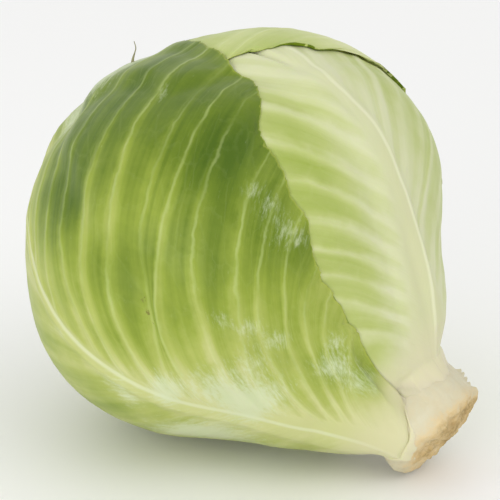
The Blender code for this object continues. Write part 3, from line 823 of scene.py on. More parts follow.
def make_mesh(name, points, faces, attributes, material):
    """A smooth object in the head's frame, kept inside the box of the solids."""
    world = np.clip(points + np.array(HEAD_CENTRE), CAD_LOW, CAD_HIGH)
    mesh = bpy.data.meshes.new(name)
    mesh.from_pydata(world.tolist(), [], faces)
    for key, values in attributes.items():
        attribute = mesh.attributes.new(key, "FLOAT", "POINT")
        attribute.data.foreach_set("value", np.asarray(values, np.float32))
    mesh.shade_smooth()
    mesh.set_sharp_from_angle(angle=math.radians(SHARP_ANGLE))
    mesh.materials.append(material)
    obj = bpy.data.objects.new(name, mesh)
    bpy.context.scene.collection.objects.link(obj)
    return obj


def settled(leaf, inner_of, directions, x, y, to_margin, trees):
    """Radius of the fine inner face: its lumps, its filled groove, and its margin come down to rest."""
    radius = inner_of(leaf, directions)
    if leaf.filled:
        low, high = leaf.filled
        radius = radius + midrib(leaf, x, y) * fade(low - y, FILL_FADE) * fade(y - high, FILL_TIP_FADE)
    lumps = 0.5 - 0.5 * noise_at(directions, LUMP_SIZE) + CREASE_SHARE * noise_at(directions, CREASE_SIZE)
    radius = radius - LUMP_DEPTH * np.clip(lumps, 0, 1.3) + rise_below(leaf, directions)
    sinking = fade(to_margin, SINK_WIDTH)
    near = np.flatnonzero(sinking > 0.001)
    rest = np.zeros(len(radius))
    rest[near] = surface_under(directions[near], trees)
    from_foot = angle_from(STEM_AXIS, directions) - leaf.foot_angle
    lowest = radius - leaf.sink - FOOT_SINK * fade(from_foot, FOOT_SINK_FADE)
    return radius - sinking * np.clip(radius - np.maximum(rest + SINK_GAP, lowest), 0, None)


def blade_thickness(leaf, across, rib, strength, from_vein):
    """The blade, thinner towards its margin, with its midrib and its side veins."""
    out = np.abs(across)
    thinning = share_of(out, THINNING_START, 1) ** THINNING_EASE
    veins = leaf.vein_height * strength * np.exp(-((from_vein / leaf.vein_breadth) ** 2))
    veins = veins * (1 - VEIN_SINKING * out) * fade(rib, VEIN_RIB_FADE) * np.clip(out / VEIN_START, 0, 1)
    return leaf.blade * (1 - (1 - FINE_MARGIN) * thinning) + rib + veins


def make_blade(leaf, inner_of, size, trees, looks_of):
    """Vertices, faces and attributes of one fine blade."""
    rows, columns = size
    across, row = np.meshgrid(column_places(columns), np.linspace(0, 1, rows + 1))
    shape = across.shape
    x, y = blade_rows(leaf, across.ravel(), row.ravel())
    smooth = from_leaf(leaf, x, y)
    to_margin = margin_distance((smooth * inner_of(leaf, smooth)[:, None]).reshape(*shape, 3))
    teeth = fade(to_margin.ravel(), TEETH_FADE) * np.clip(row.ravel() / TEETH_START, 0, 1)
    stretch = 1 + ragged_margin(leaf, x, y) * teeth / np.hypot(x, y)
    x, y = x * stretch, y * stretch
    directions = from_leaf(leaf, x, y)
    radius = settled(leaf, inner_of, directions, x, y, to_margin.ravel(), trees)
    phase, strength = vein_field(leaf, across[0], row[:, 0])
    inner = (directions * radius[:, None]).reshape(*shape, 3)
    spacing = vein_spacing(inner, phase)
    x, y = x.reshape(shape), y.reshape(shape)
    rib, away = roof(leaf, x, y)
    from_vein = np.abs(phase - np.rint(phase)) * spacing
    thickness = blade_thickness(leaf, across, rib, strength, from_vein)
    inner, outer = curl_lips(leaf, inner, x, y, to_margin, thickness)
    inner = pressed(directions, inner.reshape(-1, 3)).reshape(*shape, 3)
    outer = drawn_down(leaf, pressed(directions, outer.reshape(-1, 3)).reshape(*shape, 3))
    from_foot = angle_from(STEM_AXIS, directions).reshape(shape) - leaf.foot_angle
    fields = {
        "phase": phase,
        "spacing": spacing * 1000,
        "strength": strength,
        "across": across,
        "to_margin": to_margin * 1000,
        "rib": rib / leaf.midrib_height,
        "rib_side": away,
        "foot": FOOT_SHARE * fade(from_foot, FOOT_SHARE_FADE),
        "bloom": 0 * x,
        "scar": 0 * x,
        **looks_of(x, y, across),
    }
    fields["green"] = fields["green"] * (1 - fields["foot"])
    outer = np.concatenate((foot_rows(leaf, outer[0]), outer))
    inner = with_foot(inner)
    fields = {key: with_foot(values) for key, values in fields.items()}
    fields["foot"][:FOOT_ROWS] = 1 - 0.3 * np.linspace(0, 1, FOOT_ROWS)[:, None] ** 3
    outer_ids, inner_ids, row_steps, column_steps, faces = blade_faces(rows, columns)
    part = np.ix_(row_steps, column_steps)
    points = np.concatenate((gathered(outer, outer_ids), gathered(inner[part], inner_ids)))
    attributes = {
        key: np.concatenate((gathered(values, outer_ids), gathered(values[part], inner_ids)))
        for key, values in fields.items()
    }
    attributes["inside"] = np.arange(len(points)) > outer_ids.max()
    return points, faces, attributes


# Looks of each leaf


def spots(places, x, y):
    """The sum of soft round spots, each given as x, y, spread and amount."""
    return sum(
        amount * np.exp(-((x - middle_x) ** 2 + (y - middle_y) ** 2) / spread**2)
        for middle_x, middle_y, spread, amount in places
    )


FRONT_GREEN_AND_LIGHT = (  # x, y and spread in degrees, amount
    (66, 3, 13, 0.26), (60, -20, 12, 0.14), (68, 24, 14, 0.08), (24, 24, 8, 0.20),
    (16, 38, 10, 0.16), (40, 44, 16, 0.14), (46, 6, 8, -0.17), (12, 22, 6, 0.08),
    (32, 12, 9, -0.28), (22, -35, 12, -0.16), (9, -10, 7, 0.10), (10, 28, 6, 0.08),
    (60, 45, 14, 0.10), (28, -8, 10, -0.06), (45, 25, 6, -0.04), (17, 32, 7, 0.08),
    (70, 28, 10, 0.12), (65, 0, 8, 0.08), (58, -35, 8, 0.18), (30, -66, 8, 0.10),
    # The spot at (-22, -42) pales the underside near the floor as painted light, standing in for light from
    # below.
    (27, -26, 7, -0.08), (-22, -42, 12, -0.35), (40, -45, 14, -0.04), (-16, -14, 7, 0.34),
    (-11, -30, 6, 0.16), (-24, 10, 10, 0.10), (25, -77, 6, 0.22),
)
# Waxy bloom spots: x, y and spread in degrees, amount. The last three, towards the tip on the right, are a
# painted sheen along the head's top-left rim; (-20, -40) is partly painted light on the shaded underside.
FRONT_BLOOM_AND_SHEEN = (
    (-6, -18, 5, 0.7), (-14, -46, 12, 0.8), (-26, -30, 10, 0.7), (-20, 30, 12, 0.6),
    (-30, -60, 14, 0.9), (64, -12, 3, 0.8), (64, -19, 3.5, 0.8), (61, -28, 5, 0.8),
    (61, -34, 3, 0.6), (36, -61, 4, 0.8), (27, -65, 5, 0.8), (23, -73, 5, 0.7), (2, -14, 4, 0.5),
    (5, -26, 5, 1.3), (10, -38, 8, 1.2), (11, -52, 8, 1.2), (32, -46, 4, 0.95), (33, -37, 4, 0.90),
    (32, -29, 3, 0.85), (22, -44, 6, 0.70), (28, -63, 6, 0.50), (21, -74, 5, 0.40),
    (60, 37, 3, 0.8), (6, -50, 5, 0.7), (-20, -40, 9, 1.5), (-5, -13, 3.5, 0.6), (-9, -20, 4, 0.6),
    (0, -28, 4, 1.0), (6, -44, 5, 0.7), (1, -50, 5, 0.8), (-2, 4, 3, 0.7), (32, 76, 12, 2.8),
    (46, 78, 9, 2.6), (16, 64, 7, 1.3),
)
FRONT_SCARS = (
    (25.6, -10.2, 1.2, 1.0), (23.5, -12.8, 1.2, 1.0), (22.1, -15.3, 1.0, 1.0), (27, -8, 0.8, 0.7),
    (28.3, 20, 0.7, 0.6), (23.8, 23.7, 0.7, 0.6), (82.5, 13.2, 0.8, 0.9), (74.4, -4.2, 0.6, 0.8),
)


def front_looks(x, y, across):
    """Paler beside the midrib and towards the foot, and on the side under the head, partly as painted light
    from the floor below.
    """
    from_midrib = np.clip(np.abs(x - 2) / 24, 0, 1)
    green = 0.10 + 0.42 * from_midrib**0.8 + 0.34 * np.clip((y + 40) / 75, -0.5, 0.6)
    green = green + spots(FRONT_GREEN_AND_LIGHT, x, y)
    # The side under the head is paler, partly its own colour and partly painted light from the floor below.
    green = np.where(x < 0, 0.10 + 0.45 * green, green)
    return {"green": green, "bloom": spots(FRONT_BLOOM_AND_SHEEN, x, y), "scar": spots(FRONT_SCARS, x, y)}


UPPER_GREEN = (
    (-16, -8, 9, 0.16), (-22, -20, 9, 0.08), (23, -44, 12, -0.20), (16, -12, 11, -0.16),
    (14, -30, 9, -0.12), (13, -56, 8, -0.10), (-14, -50, 14, -0.07),
)


def upper_looks(x, y, across):
    """Greener away from the midrib, paler at the foot, towards the tip and on the right."""
    green = 0.30 + 0.40 * fade(21 - np.abs(x), 16) - 0.16 * fade(y + 78, 40)
    green = green - 0.10 * fade(-x, 8) - 0.10 * fade(8 - y, 16) + spots(UPPER_GREEN, x, y)
    return {"green": green}


BACK_PALE = (
    (-70, 14, 20, -0.40), (-76, 50, 16, -0.22),
)
BACK_BLOOM = (
    (30, 20, 14, 0.6), (-20, -30, 12, 0.7), (40, -30, 10, 0.6), (-40, 30, 12, 0.4),
)


def back_looks(x, y, across):
    """Greener towards the tip, paler along the midrib."""
    towards_tip = np.clip((y + 35) / 60, -1, 1)
    green = 0.50 + 0.22 * towards_tip - 0.25 * fade(np.abs(x), 9) + spots(BACK_PALE, x, y)
    return {"green": green, "bloom": spots(BACK_BLOOM, x, y)}


def inner_looks(x, y, across):
    """Paler along the midrib, greener towards the margins."""
    return {"green": 0.42 - 0.2 * fade(np.abs(x), 8) + 0.1 * np.abs(across)}


# Materials


class Value:
    """The output of a node. Sums, differences and products of values are nodes of their own."""

    def __init__(self, nodes, socket):
        self.nodes = nodes
        self.socket = socket

    def __add__(self, other):
        return self.nodes.maths("ADD", self, other)

    __radd__ = __add__

    def __sub__(self, other):
        return self.nodes.maths("SUBTRACT", self, other)

    def __mul__(self, other):
        return self.nodes.maths("MULTIPLY", self, other)

    def __abs__(self):
        return self.nodes.maths("ABSOLUTE", self)


class Nodes:
    """One material's nodes. Each method that adds a node returns its output as a value."""

    def __init__(self, name):
        self.material = bpy.data.materials.new(name)
        self.material.use_nodes = True
        self.tree = self.material.node_tree
        self.shader = self.tree.nodes["Principled BSDF"]

    def plug(self, socket, value):
        if isinstance(value, Value):
            self.tree.links.new(value.socket, socket)
        else:
            socket.default_value = value

    def add(self, kind, inputs, output=0, **settings):
        node = self.tree.nodes.new(kind)
        for key, value in settings.items():
            setattr(node, key, value)
        for socket, value in inputs.items():
            self.plug(node.inputs[socket], value)
        return Value(self, node.outputs[output])

    def attribute(self, name):
        return self.add("ShaderNodeAttribute", {}, "Fac", attribute_name=name)

    def position(self):
        return self.add("ShaderNodeTexCoord", {}, "Object")

    def vector(self, x, y, z):
        return self.add("ShaderNodeCombineXYZ", {0: x, 1: y, 2: z})

    def maths(self, operation, *values):
        return self.add("ShaderNodeMath", dict(enumerate(values)), operation=operation)

    def noise(self, place, scale, detail=3.0, roughness=0.55):
        inputs = {"Vector": place, "Scale": scale, "Detail": detail, "Roughness": roughness}
        return self.add("ShaderNodeTexNoise", inputs, "Fac")

    def net(self, place, scale):
        """Distance to the nearest line of a net."""
        inputs = {"Vector": place, "Scale": scale}
        return self.add("ShaderNodeTexVoronoi", inputs, feature="DISTANCE_TO_EDGE")

    def step(self, value, start, end, low=0.0, high=1.0):
        """From low at the start to high at the end, smoothly."""
        inputs = {"Value": value, "From Min": start, "From Max": end, "To Min": low, "To Max": high}
        return self.add("ShaderNodeMapRange", inputs, interpolation_type="SMOOTHSTEP")

    def mix(self, share, first, second):
        inputs = {0: share, 6: first, 7: second}
        return self.add("ShaderNodeMix", inputs, 2, data_type="RGBA", clamp_factor=True)

    def ramp(self, value, stops):
        node = self.tree.nodes.new("ShaderNodeValToRGB")
        self.plug(node.inputs[0], value)
        marks = node.color_ramp.elements
        while len(marks) < len(stops):
            marks.new(0.5)
        for mark, (place, colour) in zip(marks, stops):
            mark.position = place
            mark.color = (*colour, 1)
        return Value(self, node.outputs[0])

    def set_shader(self, values):
        """Settings that are equal all over."""
        for name, value in values.items():
            self.shader.inputs[name].default_value = value

    def finish(self, colour, roughness, height, bump):
        relief = self.add("ShaderNodeBump", {"Strength": bump, "Distance": 0.0004, "Height": height})
        for name, value in (("Base Color", colour), ("Roughness", roughness), ("Normal", relief)):
            self.plug(self.shader.inputs[name], value)
        return self.material


@dataclass
class Look:
    """Colours are linear. Widths are in millimetres."""

    name: str
    greens: tuple
    vein: tuple
    vein_core: float
    core_share: float
    midrib: tuple
    edge: tuple
    inner: tuple
    # crest is the colour of a paler band along the midrib's crest, partly a painted highlight on the ridge
    crest: tuple
    halo: float = 0.34
    web_share: float = 0.05
    halo_end: float = 0.35
    rib_share: float = 0.5
    crest_highlight_share: float = 0.55
    crest_highlight_width: float = 2.2
    crest_highlight_tip: float = 0.25
    streak: float = 0.18
    blotch: float = 0.26
    sheen: float = 0.0


# Colour of the waxy bloom, also used for a painted sheen at the head's top-left rim and for painted light on
# the shaded underside
BLOOM_AND_SHEEN_COLOUR = (0.60, 0.66, 0.45, 1)
FOOT_COLOUR = (0.65, 0.61, 0.41, 1)
SCAR_COLOUR = (0.16, 0.14, 0.03, 1)
CRACK_COLOUR = (0.28, 0.20, 0.05, 1)
STEM_COLOURS = (
    (0.0, (0.60, 0.56, 0.40)), (0.30, (0.61, 0.54, 0.36)), (0.52, (0.66, 0.52, 0.29)),
    (0.75, (0.58, 0.42, 0.19)), (1.0, (0.40, 0.27, 0.10)),
)
LEAF_SCATTER = (0.0016, 0.0024, 0.0008)  # metres that red, green and blue travel under the surface
STEM_SCATTER = (0.003, 0.0024, 0.0014)
LEAF_BUMP = 0.35
STEM_BUMP = 0.5

OUTER_LOOK = Look(
    name="outer_leaf",
    greens=(
        (0.0, (0.56, 0.57, 0.26)), (0.28, (0.38, 0.43, 0.10)), (0.50, (0.25, 0.32, 0.038)),
        (0.75, (0.125, 0.19, 0.010)), (1.0, (0.060, 0.115, 0.002)),
    ),
    vein=(0.46, 0.54, 0.21, 1),
    vein_core=0.9,
    core_share=0.42,
    midrib=(0.54, 0.57, 0.25, 1),
    crest=(0.66, 0.69, 0.44, 1),
    rib_share=0.35,
    crest_highlight_share=0.7,
    crest_highlight_width=1.3,
    halo=0.27,
    sheen=0.05,
    edge=(0.34, 0.38, 0.06, 1),
    inner=(0.22, 0.31, 0.04, 1),
)
BACK_LOOK = Look(
    name="back_leaf",
    greens=(
        (0.0, (0.70, 0.71, 0.42)), (0.35, (0.54, 0.59, 0.24)), (0.6, (0.42, 0.49, 0.15)),
        (1.0, (0.26, 0.36, 0.06)),
    ),
    vein=(0.66, 0.70, 0.36, 1),
    vein_core=0.55,
    core_share=0.28,
    midrib=(0.68, 0.69, 0.42, 1),
    crest=(0.74, 0.75, 0.50, 1),
    edge=(0.40, 0.44, 0.08, 1),
    inner=(0.12, 0.17, 0.008, 1),
    halo=0.22,
)
PALE_GREENS = (
    (0.0, (0.60, 0.62, 0.38)), (0.3, (0.52, 0.56, 0.27)), (0.55, (0.42, 0.48, 0.155)),
    (1.0, (0.28, 0.36, 0.05)),
)
PALE_LOOK = Look(
    name="pale_leaf",
    greens=PALE_GREENS,
    vein=(0.60, 0.63, 0.35, 1),
    vein_core=1.0,
    core_share=0.16,
    midrib=(0.58, 0.58, 0.33, 1),
    crest=(0.75, 0.76, 0.54, 1),
    crest_highlight_share=0.62,
    crest_highlight_width=1.0,
    crest_highlight_tip=0.6,
    edge=(0.50, 0.56, 0.18, 1),
    inner=(0.55, 0.60, 0.26, 1),
    halo=0.38,
    halo_end=0.7,
    streak=0.14,
)
HEART_LOOK = Look(
    name="heart_leaves",
    greens=PALE_GREENS,
    vein=PALE_LOOK.vein,
    vein_core=0.8,
    core_share=0.4,
    midrib=PALE_LOOK.midrib,
    crest=PALE_LOOK.crest,
    edge=PALE_LOOK.edge,
    inner=PALE_LOOK.inner,
)


def vein_marks(nodes, look, bare):
    """How much of a side vein, and of the pale band along it, lies at each place."""
    phase, across, strength = (nodes.attribute(name) for name in ("phase", "across", "strength"))
    out = abs(across)
    wobble = nodes.noise(nodes.position(), 120.0, 3.0) * 0.24 + 0.38
    off = abs(nodes.maths("FRACT", phase + wobble) - 0.5)
    width = out * (-0.5 * look.vein_core) + (look.vein_core + 0.25)
    core = nodes.step(off * nodes.attribute("spacing"), 0.05, width, 1.0, 0.0)
    uneven = nodes.noise(nodes.vector(phase, across * 6.0, 5.0), 1.0, 2.0)
    core = core * strength * nodes.step(uneven, 0.3, 0.64, 0.15, 1.0)
    halo = nodes.step(off, 0.0, out * -0.22 + 0.46, 1.0, 0.0) * (strength * 0.7 + 0.3)
    halo = halo * nodes.step(out, 0.4, 1.05, 1.0, look.halo_end)
    patchy = nodes.noise(nodes.vector(phase * 0.8, across * 3.4, 11.0), 1.0, 2.0)
    halo = halo * nodes.step(patchy, 0.25, 0.72, 0.35, 1.15)
    return core * bare, halo * bare + (bare * -0.4 + 0.4)


def leaf_material(look):
    """Greens by depth, and over them the veins, midrib with a painted highlight on its crest, margin, bloom
    with painted sheen and painted light, scars, inner face and foot.
    """
    nodes = Nodes(look.name)
    place = nodes.position()
    phase, across, rib = (nodes.attribute(name) for name in ("phase", "across", "rib"))
    blotches = nodes.noise(place, 60.0, 4.0, 0.6)
    fleck = nodes.noise(place, 260.0, 3.0, 0.6)
    grain = nodes.noise(place, 1100.0, 2.0)
    streaks = nodes.noise(nodes.vector(phase * 7.0, across * 2.4, 0.0), 1.0, 4.0, 0.6)
    patterns = (
        (nodes.noise(nodes.vector(phase, across * 1.7, 3.0), 1.0, 1.0, 0.5), 0.34),
        (nodes.noise(nodes.vector(phase * 3.0, across, 7.0), 1.4, 2.0, 0.5), 0.24),
        (streaks, look.streak),
        (blotches, look.blotch),
        (fleck, 0.10),
    )
    off_middle = nodes.step(abs(across), 0.01, 0.06)
    core, halo = vein_marks(nodes, look, nodes.step(rib, 0.08, 0.28, 1.0, 0.0) * off_middle)
    variation = sum((pattern - 0.5) * share for pattern, share in patterns)
    depth = nodes.attribute("green") + variation * off_middle - halo * look.halo
    colour = nodes.mix(core * look.core_share, nodes.ramp(depth, look.greens), look.vein)

    bent = fleck * 0.5
    lines = nodes.net(nodes.vector(phase * 1.7 + bent, across * 10.0 + bent, 0.0), 1.0)
    web = nodes.step(lines, 0.0, 0.07, 1.0, 0.0) * nodes.step(blotches, 0.35, 0.6)
    colour = nodes.mix(web * look.web_share, colour, look.vein)

    colour = nodes.mix(nodes.step(rib, 0.02, 0.45) * look.rib_share, colour, look.midrib)
    # Paler band along the midrib's crest: the rib's own paleness and a painted highlight on the ridge
    crest = nodes.step(abs(nodes.attribute("rib_side")), 0.2, look.crest_highlight_width, 1.0, 0.0)
    crest = crest * nodes.step(rib, 0.0, 0.4, look.crest_highlight_tip, 1.0)
    colour = nodes.mix(crest * look.crest_highlight_share, colour, look.crest)

    to_margin = nodes.attribute("to_margin")
    colour = nodes.mix(nodes.step(to_margin, 0.1, 0.9, 0.55, 0.0), colour, look.edge)

    # Waxy bloom and scuffs as a pale film; on the outer leaf some of it is a painted sheen at the top-left
    # rim and painted light on the underside
    scuffs = nodes.noise(nodes.vector(phase * 9.0, across * 24.0, 1.0), 1.0, 4.0, 0.7)
    scratch = nodes.noise(place, 420.0, 5.0, 0.75)
    film = nodes.attribute("bloom") + (scuffs * 2.6 - 1.3) + (scratch - 0.6)
    film = nodes.step(film, 0.20, 1.65, 0.0, 0.72)
    colour = nodes.mix(film, colour, BLOOM_AND_SHEEN_COLOUR)
    scar = nodes.attribute("scar") + (grain * 1.4 - 1.0)
    colour = nodes.mix(nodes.step(scar, 0.35, 0.7, 0.0, 0.8), colour, SCAR_COLOUR)

    lining = nodes.mix(nodes.step(to_margin, 1.6, 3.0), look.inner, look.edge)
    colour = nodes.mix(nodes.attribute("inside"), colour, lining)
    colour = nodes.mix(nodes.attribute("foot"), colour, FOOT_COLOUR)

    roughness = blotches * 0.16 + 0.34 + film * 0.2
    height = streaks * off_middle * 0.5 + core * 0.3 + web * 0.08 + grain * 0.10
    nodes.set_shader(
        {
            "Subsurface Weight": 0.15,
            "Subsurface Radius": LEAF_SCATTER,
            "Subsurface Scale": 1.0,
            "Specular IOR Level": 0.2,
            "Sheen Weight": look.sheen,
            "Sheen Roughness": 0.5,
        }
    )
    return nodes.finish(colour, roughness, height, LEAF_BUMP)


def stem_material():
    """Pale flesh that browns where it is torn, with cracks and fibres."""
    nodes = Nodes("stem_flesh")
    place = nodes.position()
    torn = nodes.attribute("torn")
    blotches = nodes.noise(place, 180.0, 5.0, 0.65)
    grain = nodes.noise(place, 900.0, 4.0, 0.65)
    along_fibres = nodes.vector(nodes.attribute("turn") * 9.0, nodes.attribute("along") * 0.35, 0.0)
    fibres = nodes.noise(along_fibres, 1.0, 4.0)
    depth = torn + (blotches - 0.5) * 0.9 + (grain - 0.5) * 0.3
    ridges = abs(nodes.noise(place, 210.0, 4.0, 0.6) - 0.5)
    cracks = nodes.step(ridges, 0.0, 0.035, 1.0, 0.0) * nodes.step(torn, 0.45, 0.8)
    colour = nodes.mix(cracks * 0.4, nodes.ramp(depth, STEM_COLOURS), CRACK_COLOUR)
    roughness = torn * 0.25 + 0.5
    height = fibres * 0.8 + grain * 0.6 - cracks * 1.2
    nodes.set_shader(
        {
            "Subsurface Weight": 0.12,
            "Subsurface Radius": STEM_SCATTER,
            "Subsurface Scale": 1.0,
        }
    )
    return nodes.finish(colour, roughness, height, STEM_BUMP)


# Pieces


def make_wrapper(leaf, size, trees, looks_of, look):
    points, faces, attributes = make_blade(leaf, inner_radius, size, trees, looks_of)
    obj = make_mesh(f"{leaf.name}_fine", points, faces, attributes, leaf_material(look))
    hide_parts(leaf.name)
    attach(obj, "root")
    return obj


def tree_of(obj):
    """What rays cast onto the object are tested against."""
    vertices = [vertex.co for vertex in obj.data.vertices]
    return BVHTree.FromPolygons(vertices, [tuple(face.vertices) for face in obj.data.polygons])


CORE_RINGS = 60
CORE_SEGMENTS = 100
CORE_OPENING = 16  # degrees from the stem to the edge of the recess that the stem fills
CORE_GREEN = 0.4
CORE_TO_MARGIN = 20.0  # millimetres, as far from any margin as makes no difference


def heart_core():
    """Points and faces of the round core under the folded leaves, with the recess for the stem."""
    angles = np.linspace(3, 177, CORE_RINGS)
    turns = np.arange(CORE_SEGMENTS) * 360 / CORE_SEGMENTS
    angle, turn = (grid.ravel() for grid in np.meshgrid(angles, turns, indexing="ij"))
    directions = direction(angle, turn)
    radius = np.where(angle < CORE_OPENING, NECK_INNER_END - 0.0006, core_radius(directions))
    points = pressed(directions, directions * radius[:, None])
    ids = np.arange(len(points)).reshape(CORE_RINGS, CORE_SEGMENTS)
    ids = np.hstack((ids, ids[:, :1]))
    faces = faces_between(ids[::-1])
    faces.append(ids[0, :-1].tolist())
    faces.append(ids[-1, -2::-1].tolist())
    return points, faces


def make_heart():
    """The core and the inner leaves folded tightly over it."""
    points, faces = heart_core()
    core = np.ones(len(points))
    blades = [make_blade(leaf, heart_leaf_radius, HEART_GRID, (), inner_looks) for leaf in HEART_LEAVES]
    parts = {key: [0 * core] for key in blades[0][2]}
    parts["green"] = [CORE_GREEN * core]
    parts["to_margin"] = [CORE_TO_MARGIN * core]
    for blade_points, faces_of_blade, attributes in blades:
        faces += [[number + len(points) for number in face] for face in faces_of_blade]
        points = np.concatenate((points, blade_points))
        for key, values in attributes.items():
            parts[key].append(values)
    attributes = {key: np.concatenate(values) for key, values in parts.items()}
    obj = make_mesh("heart_fine", points, faces, attributes, leaf_material(HEART_LOOK))
    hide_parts("heart")
    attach(obj, "root")
    return obj


HAIR_ROOT = (149.6, -19.8)  # degrees from the stem, turn
HAIR_DEPTH = 0.0034  # how far under the head's outside it starts
HAIR_BENDS = (  # metres to the right and up
    (-0.0014, -0.0008), (-0.0010, 0.0024), (-0.0003, 0.0047), (0.0001, 0.0065), (-0.0005, 0.0089),
)
HAIR_WIDTHS = (0.00075, 0.00045, 0.00024, 0.00020, 0.00014)
HAIR_SIDES = 8
HAIR_RINGS = 13


def hair_material():
    nodes = Nodes("dry_hair")
    place = nodes.position()
    colour = nodes.ramp(nodes.noise(place, 700.0), ((0.3, (0.16, 0.15, 0.06)), (0.7, (0.33, 0.32, 0.16))))
    height = nodes.noise(place, 1500.0)
    return nodes.finish(colour, nodes.step(height, 0.2, 0.8, 0.5, 0.8), height, 0.5)


def make_hair():
    """A dry hair that stands up from the outermost leaf."""
    towards = direction(np.array([HAIR_ROOT[0]]), np.array([HAIR_ROOT[1]]))
    root = (towards * (envelope(towards)[:, None] - HAIR_DEPTH))[0]
    steps = np.linspace(0, len(HAIR_BENDS) - 1, HAIR_RINGS)
    knots = range(len(HAIR_BENDS))
    right, up = (curve(tuple(zip(knots, column)), steps) for column in zip(*HAIR_BENDS))
    width = np.interp(steps, knots, HAIR_WIDTHS)
    sideways = np.array(camera_axes()[0])
    middle = root + right[:, None] * sideways + up[:, None] * np.array((0, 0, 1))
    turns = np.arange(HAIR_SIDES) * 2 * math.pi / HAIR_SIDES
    ring = np.stack((np.cos(turns), np.sin(turns), 0 * turns), axis=1)
    points = (middle[:, None] + width[:, None, None] * ring).reshape(-1, 3)
    ids = np.arange(len(points)).reshape(HAIR_RINGS, HAIR_SIDES)
    faces = faces_between(np.hstack((ids, ids[:, :1])))
    faces.append(ids[0, ::-1].tolist())
    faces.append(ids[-1].tolist())
    obj = make_mesh("dry_hair", points, faces, {}, hair_material())
    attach(obj, "root")
    return obj


STEM_RINGS = 110
STEM_SIDES = 200
STEM_KNOBS = (  # distance along the stem, turn, spread in metres and in degrees, height
    (0.0938, 30, 0.0009, 3.0, 0.0016), (0.0952, 37, 0.0008, 2.5, 0.0021),
    (0.0972, 33, 0.0007, 2.5, 0.0018), (0.0960, 24, 0.0008, 2.5, 0.0012),
    (0.0990, 38, 0.0007, 3.0, 0.0014), (0.1025, 36, 0.0018, 9, 0.0012),
    (0.1010, -145, 0.0030, 12, 0.0010), (0.1035, -118, 0.0020, 9, -0.0010),
    (0.1020, -80, 0.0016, 8, 0.0006), (0.0985, 40, 0.0050, 26, -0.0018),
)
STEM_AXIS_RADIUS = 0.0001  # left open about the axis
STEM_TRIM = 0.0003  # taken off the outside, so that its torn parts stay in the solid
RELIEF_RADIUS = 0.012  # inside it the outside's relief fades out
CUT_FROM = 0.1045  # distance along the stem where its cut starts
CUT_FULL = 0.1055


def ragged(distance, turn):
    """How the stem's outside is torn and corky towards its cut."""
    wave = sum(share * np.sin(waves * turn + phase) for waves, phase, share in RAGGED_WAVES)
    return RAGGED_DEPTH * share_of(distance, RAGGED_FROM, RAGGED_FULL) * wave


def stem_grid():
    """Distance along the stem, radius and turn of each of its points, without its torn parts."""
    ring_end = neck_radius(np.array(NECK_INNER_END), np.array(0.0))
    profile = np.array(((NECK_INNER_END, 0.0002), (NECK_INNER_END, ring_end), *STUB_PROFILE))
    length = np.append(0, np.cumsum(np.hypot(*np.diff(profile, axis=0).T)))
    steps = np.linspace(0, length[-1] - 0.0002, STEM_RINGS)
    distance, full = (np.interp(steps, length, profile[:, axis]) for axis in (0, 1))
    turns = np.arange(STEM_SIDES) * 2 * math.pi / STEM_SIDES
    distance, turn = np.meshgrid(distance, turns, indexing="ij")
    return distance, np.repeat(full[:, None], STEM_SIDES, axis=1), turn


def make_stem():
    """The stem stub, turned about its axis, with torn fibres and a cracked, corky cut."""
    distance, full, turn = stem_grid()
    places = np.stack((np.cos(turn) * full, np.sin(turn) * full, distance), axis=-1).reshape(-1, 3)
    coarse = noise_at(places, 0.0045, 1.0).reshape(distance.shape)
    fine = noise_at(places, 0.0016, 2.0).reshape(distance.shape)
    fibres = noise_at(places * np.array((1, 1, 0.25)), 0.0013, 3.0).reshape(distance.shape)
    torn = np.clip((distance - 0.0945) / 0.0080 + 0.35 * coarse, 0, 1)
    rise = RAGGED_OUTSIDE * ragged(distance, turn) + torn * (0.00035 * coarse + 0.00022 * fine)
    rise += 0.00020 * fibres * share_of(distance, 0.080, 0.090) - STEM_TRIM
    for along, knob_turn, length, spread, height in STEM_KNOBS:
        away = turned_from(knob_turn, turn)
        rise += height * np.exp(-(((distance - along) / length) ** 2) - (away / spread) ** 2)
    radius = np.minimum(full + rise * np.clip(full / RELIEF_RADIUS, 0, 1), neck_radius(distance, turn))
    radius = np.maximum(radius, STEM_AXIS_RADIUS)
    cut = share_of(distance, CUT_FROM, CUT_FULL)
    end = RAGGED_END * ragged(distance, turn + 1) * np.clip(full / CUT_EVEN_RADIUS, 0, 1)
    distance = distance + end + cut * (0.0007 * coarse + 0.0005 * fine - 0.0006)
    side = np.cos(turn)[..., None] * UPPER_SIDE + np.sin(turn)[..., None] * BACK_SIDE
    points = (distance[..., None] * STEM_AXIS + radius[..., None] * side).reshape(-1, 3)
    ids = np.arange(len(points)).reshape(STEM_RINGS, STEM_SIDES)
    faces = faces_between(np.hstack((ids, ids[:, :1]))[::-1])
    faces.append(ids[0].tolist())
    faces.append(ids[-1, ::-1].tolist())
    underneath = np.clip(-np.cos(turn), 0, 1)
    browned = np.clip((distance - 0.0990 - 0.0028 * underneath) / 0.0060, 0, 1)
    attributes = {
        "torn": (0.10 + 0.55 * browned + 0.25 * cut * (0.5 + coarse)).ravel(),
        "turn": turn.ravel(),
        "along": distance.ravel() * 1000,
    }
    obj = make_mesh("stem_fine", points, faces, attributes, stem_material())
    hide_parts("stem")
    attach(obj, "root")
    return obj


# Stage

AZIMUTH = 31.6
ELEVATION = 20.0
CAMERA_DISTANCE = 0.9
LENS = 175.9
CAMERA_SHIFT = (0.03, -0.02)
WORLD_STRENGTH = 0.95
LIGHTS = (  # name, place, size, power
    ("key", (0.9, -0.3, 1.2), 0.9, 2.2),
    ("fill", (0.1, -1.4, 0.12), 0.9, 10),
)
FLOOR_REACH = 4.0
FLOOR_COLOUR = (0.9, 0.9, 0.89, 1)


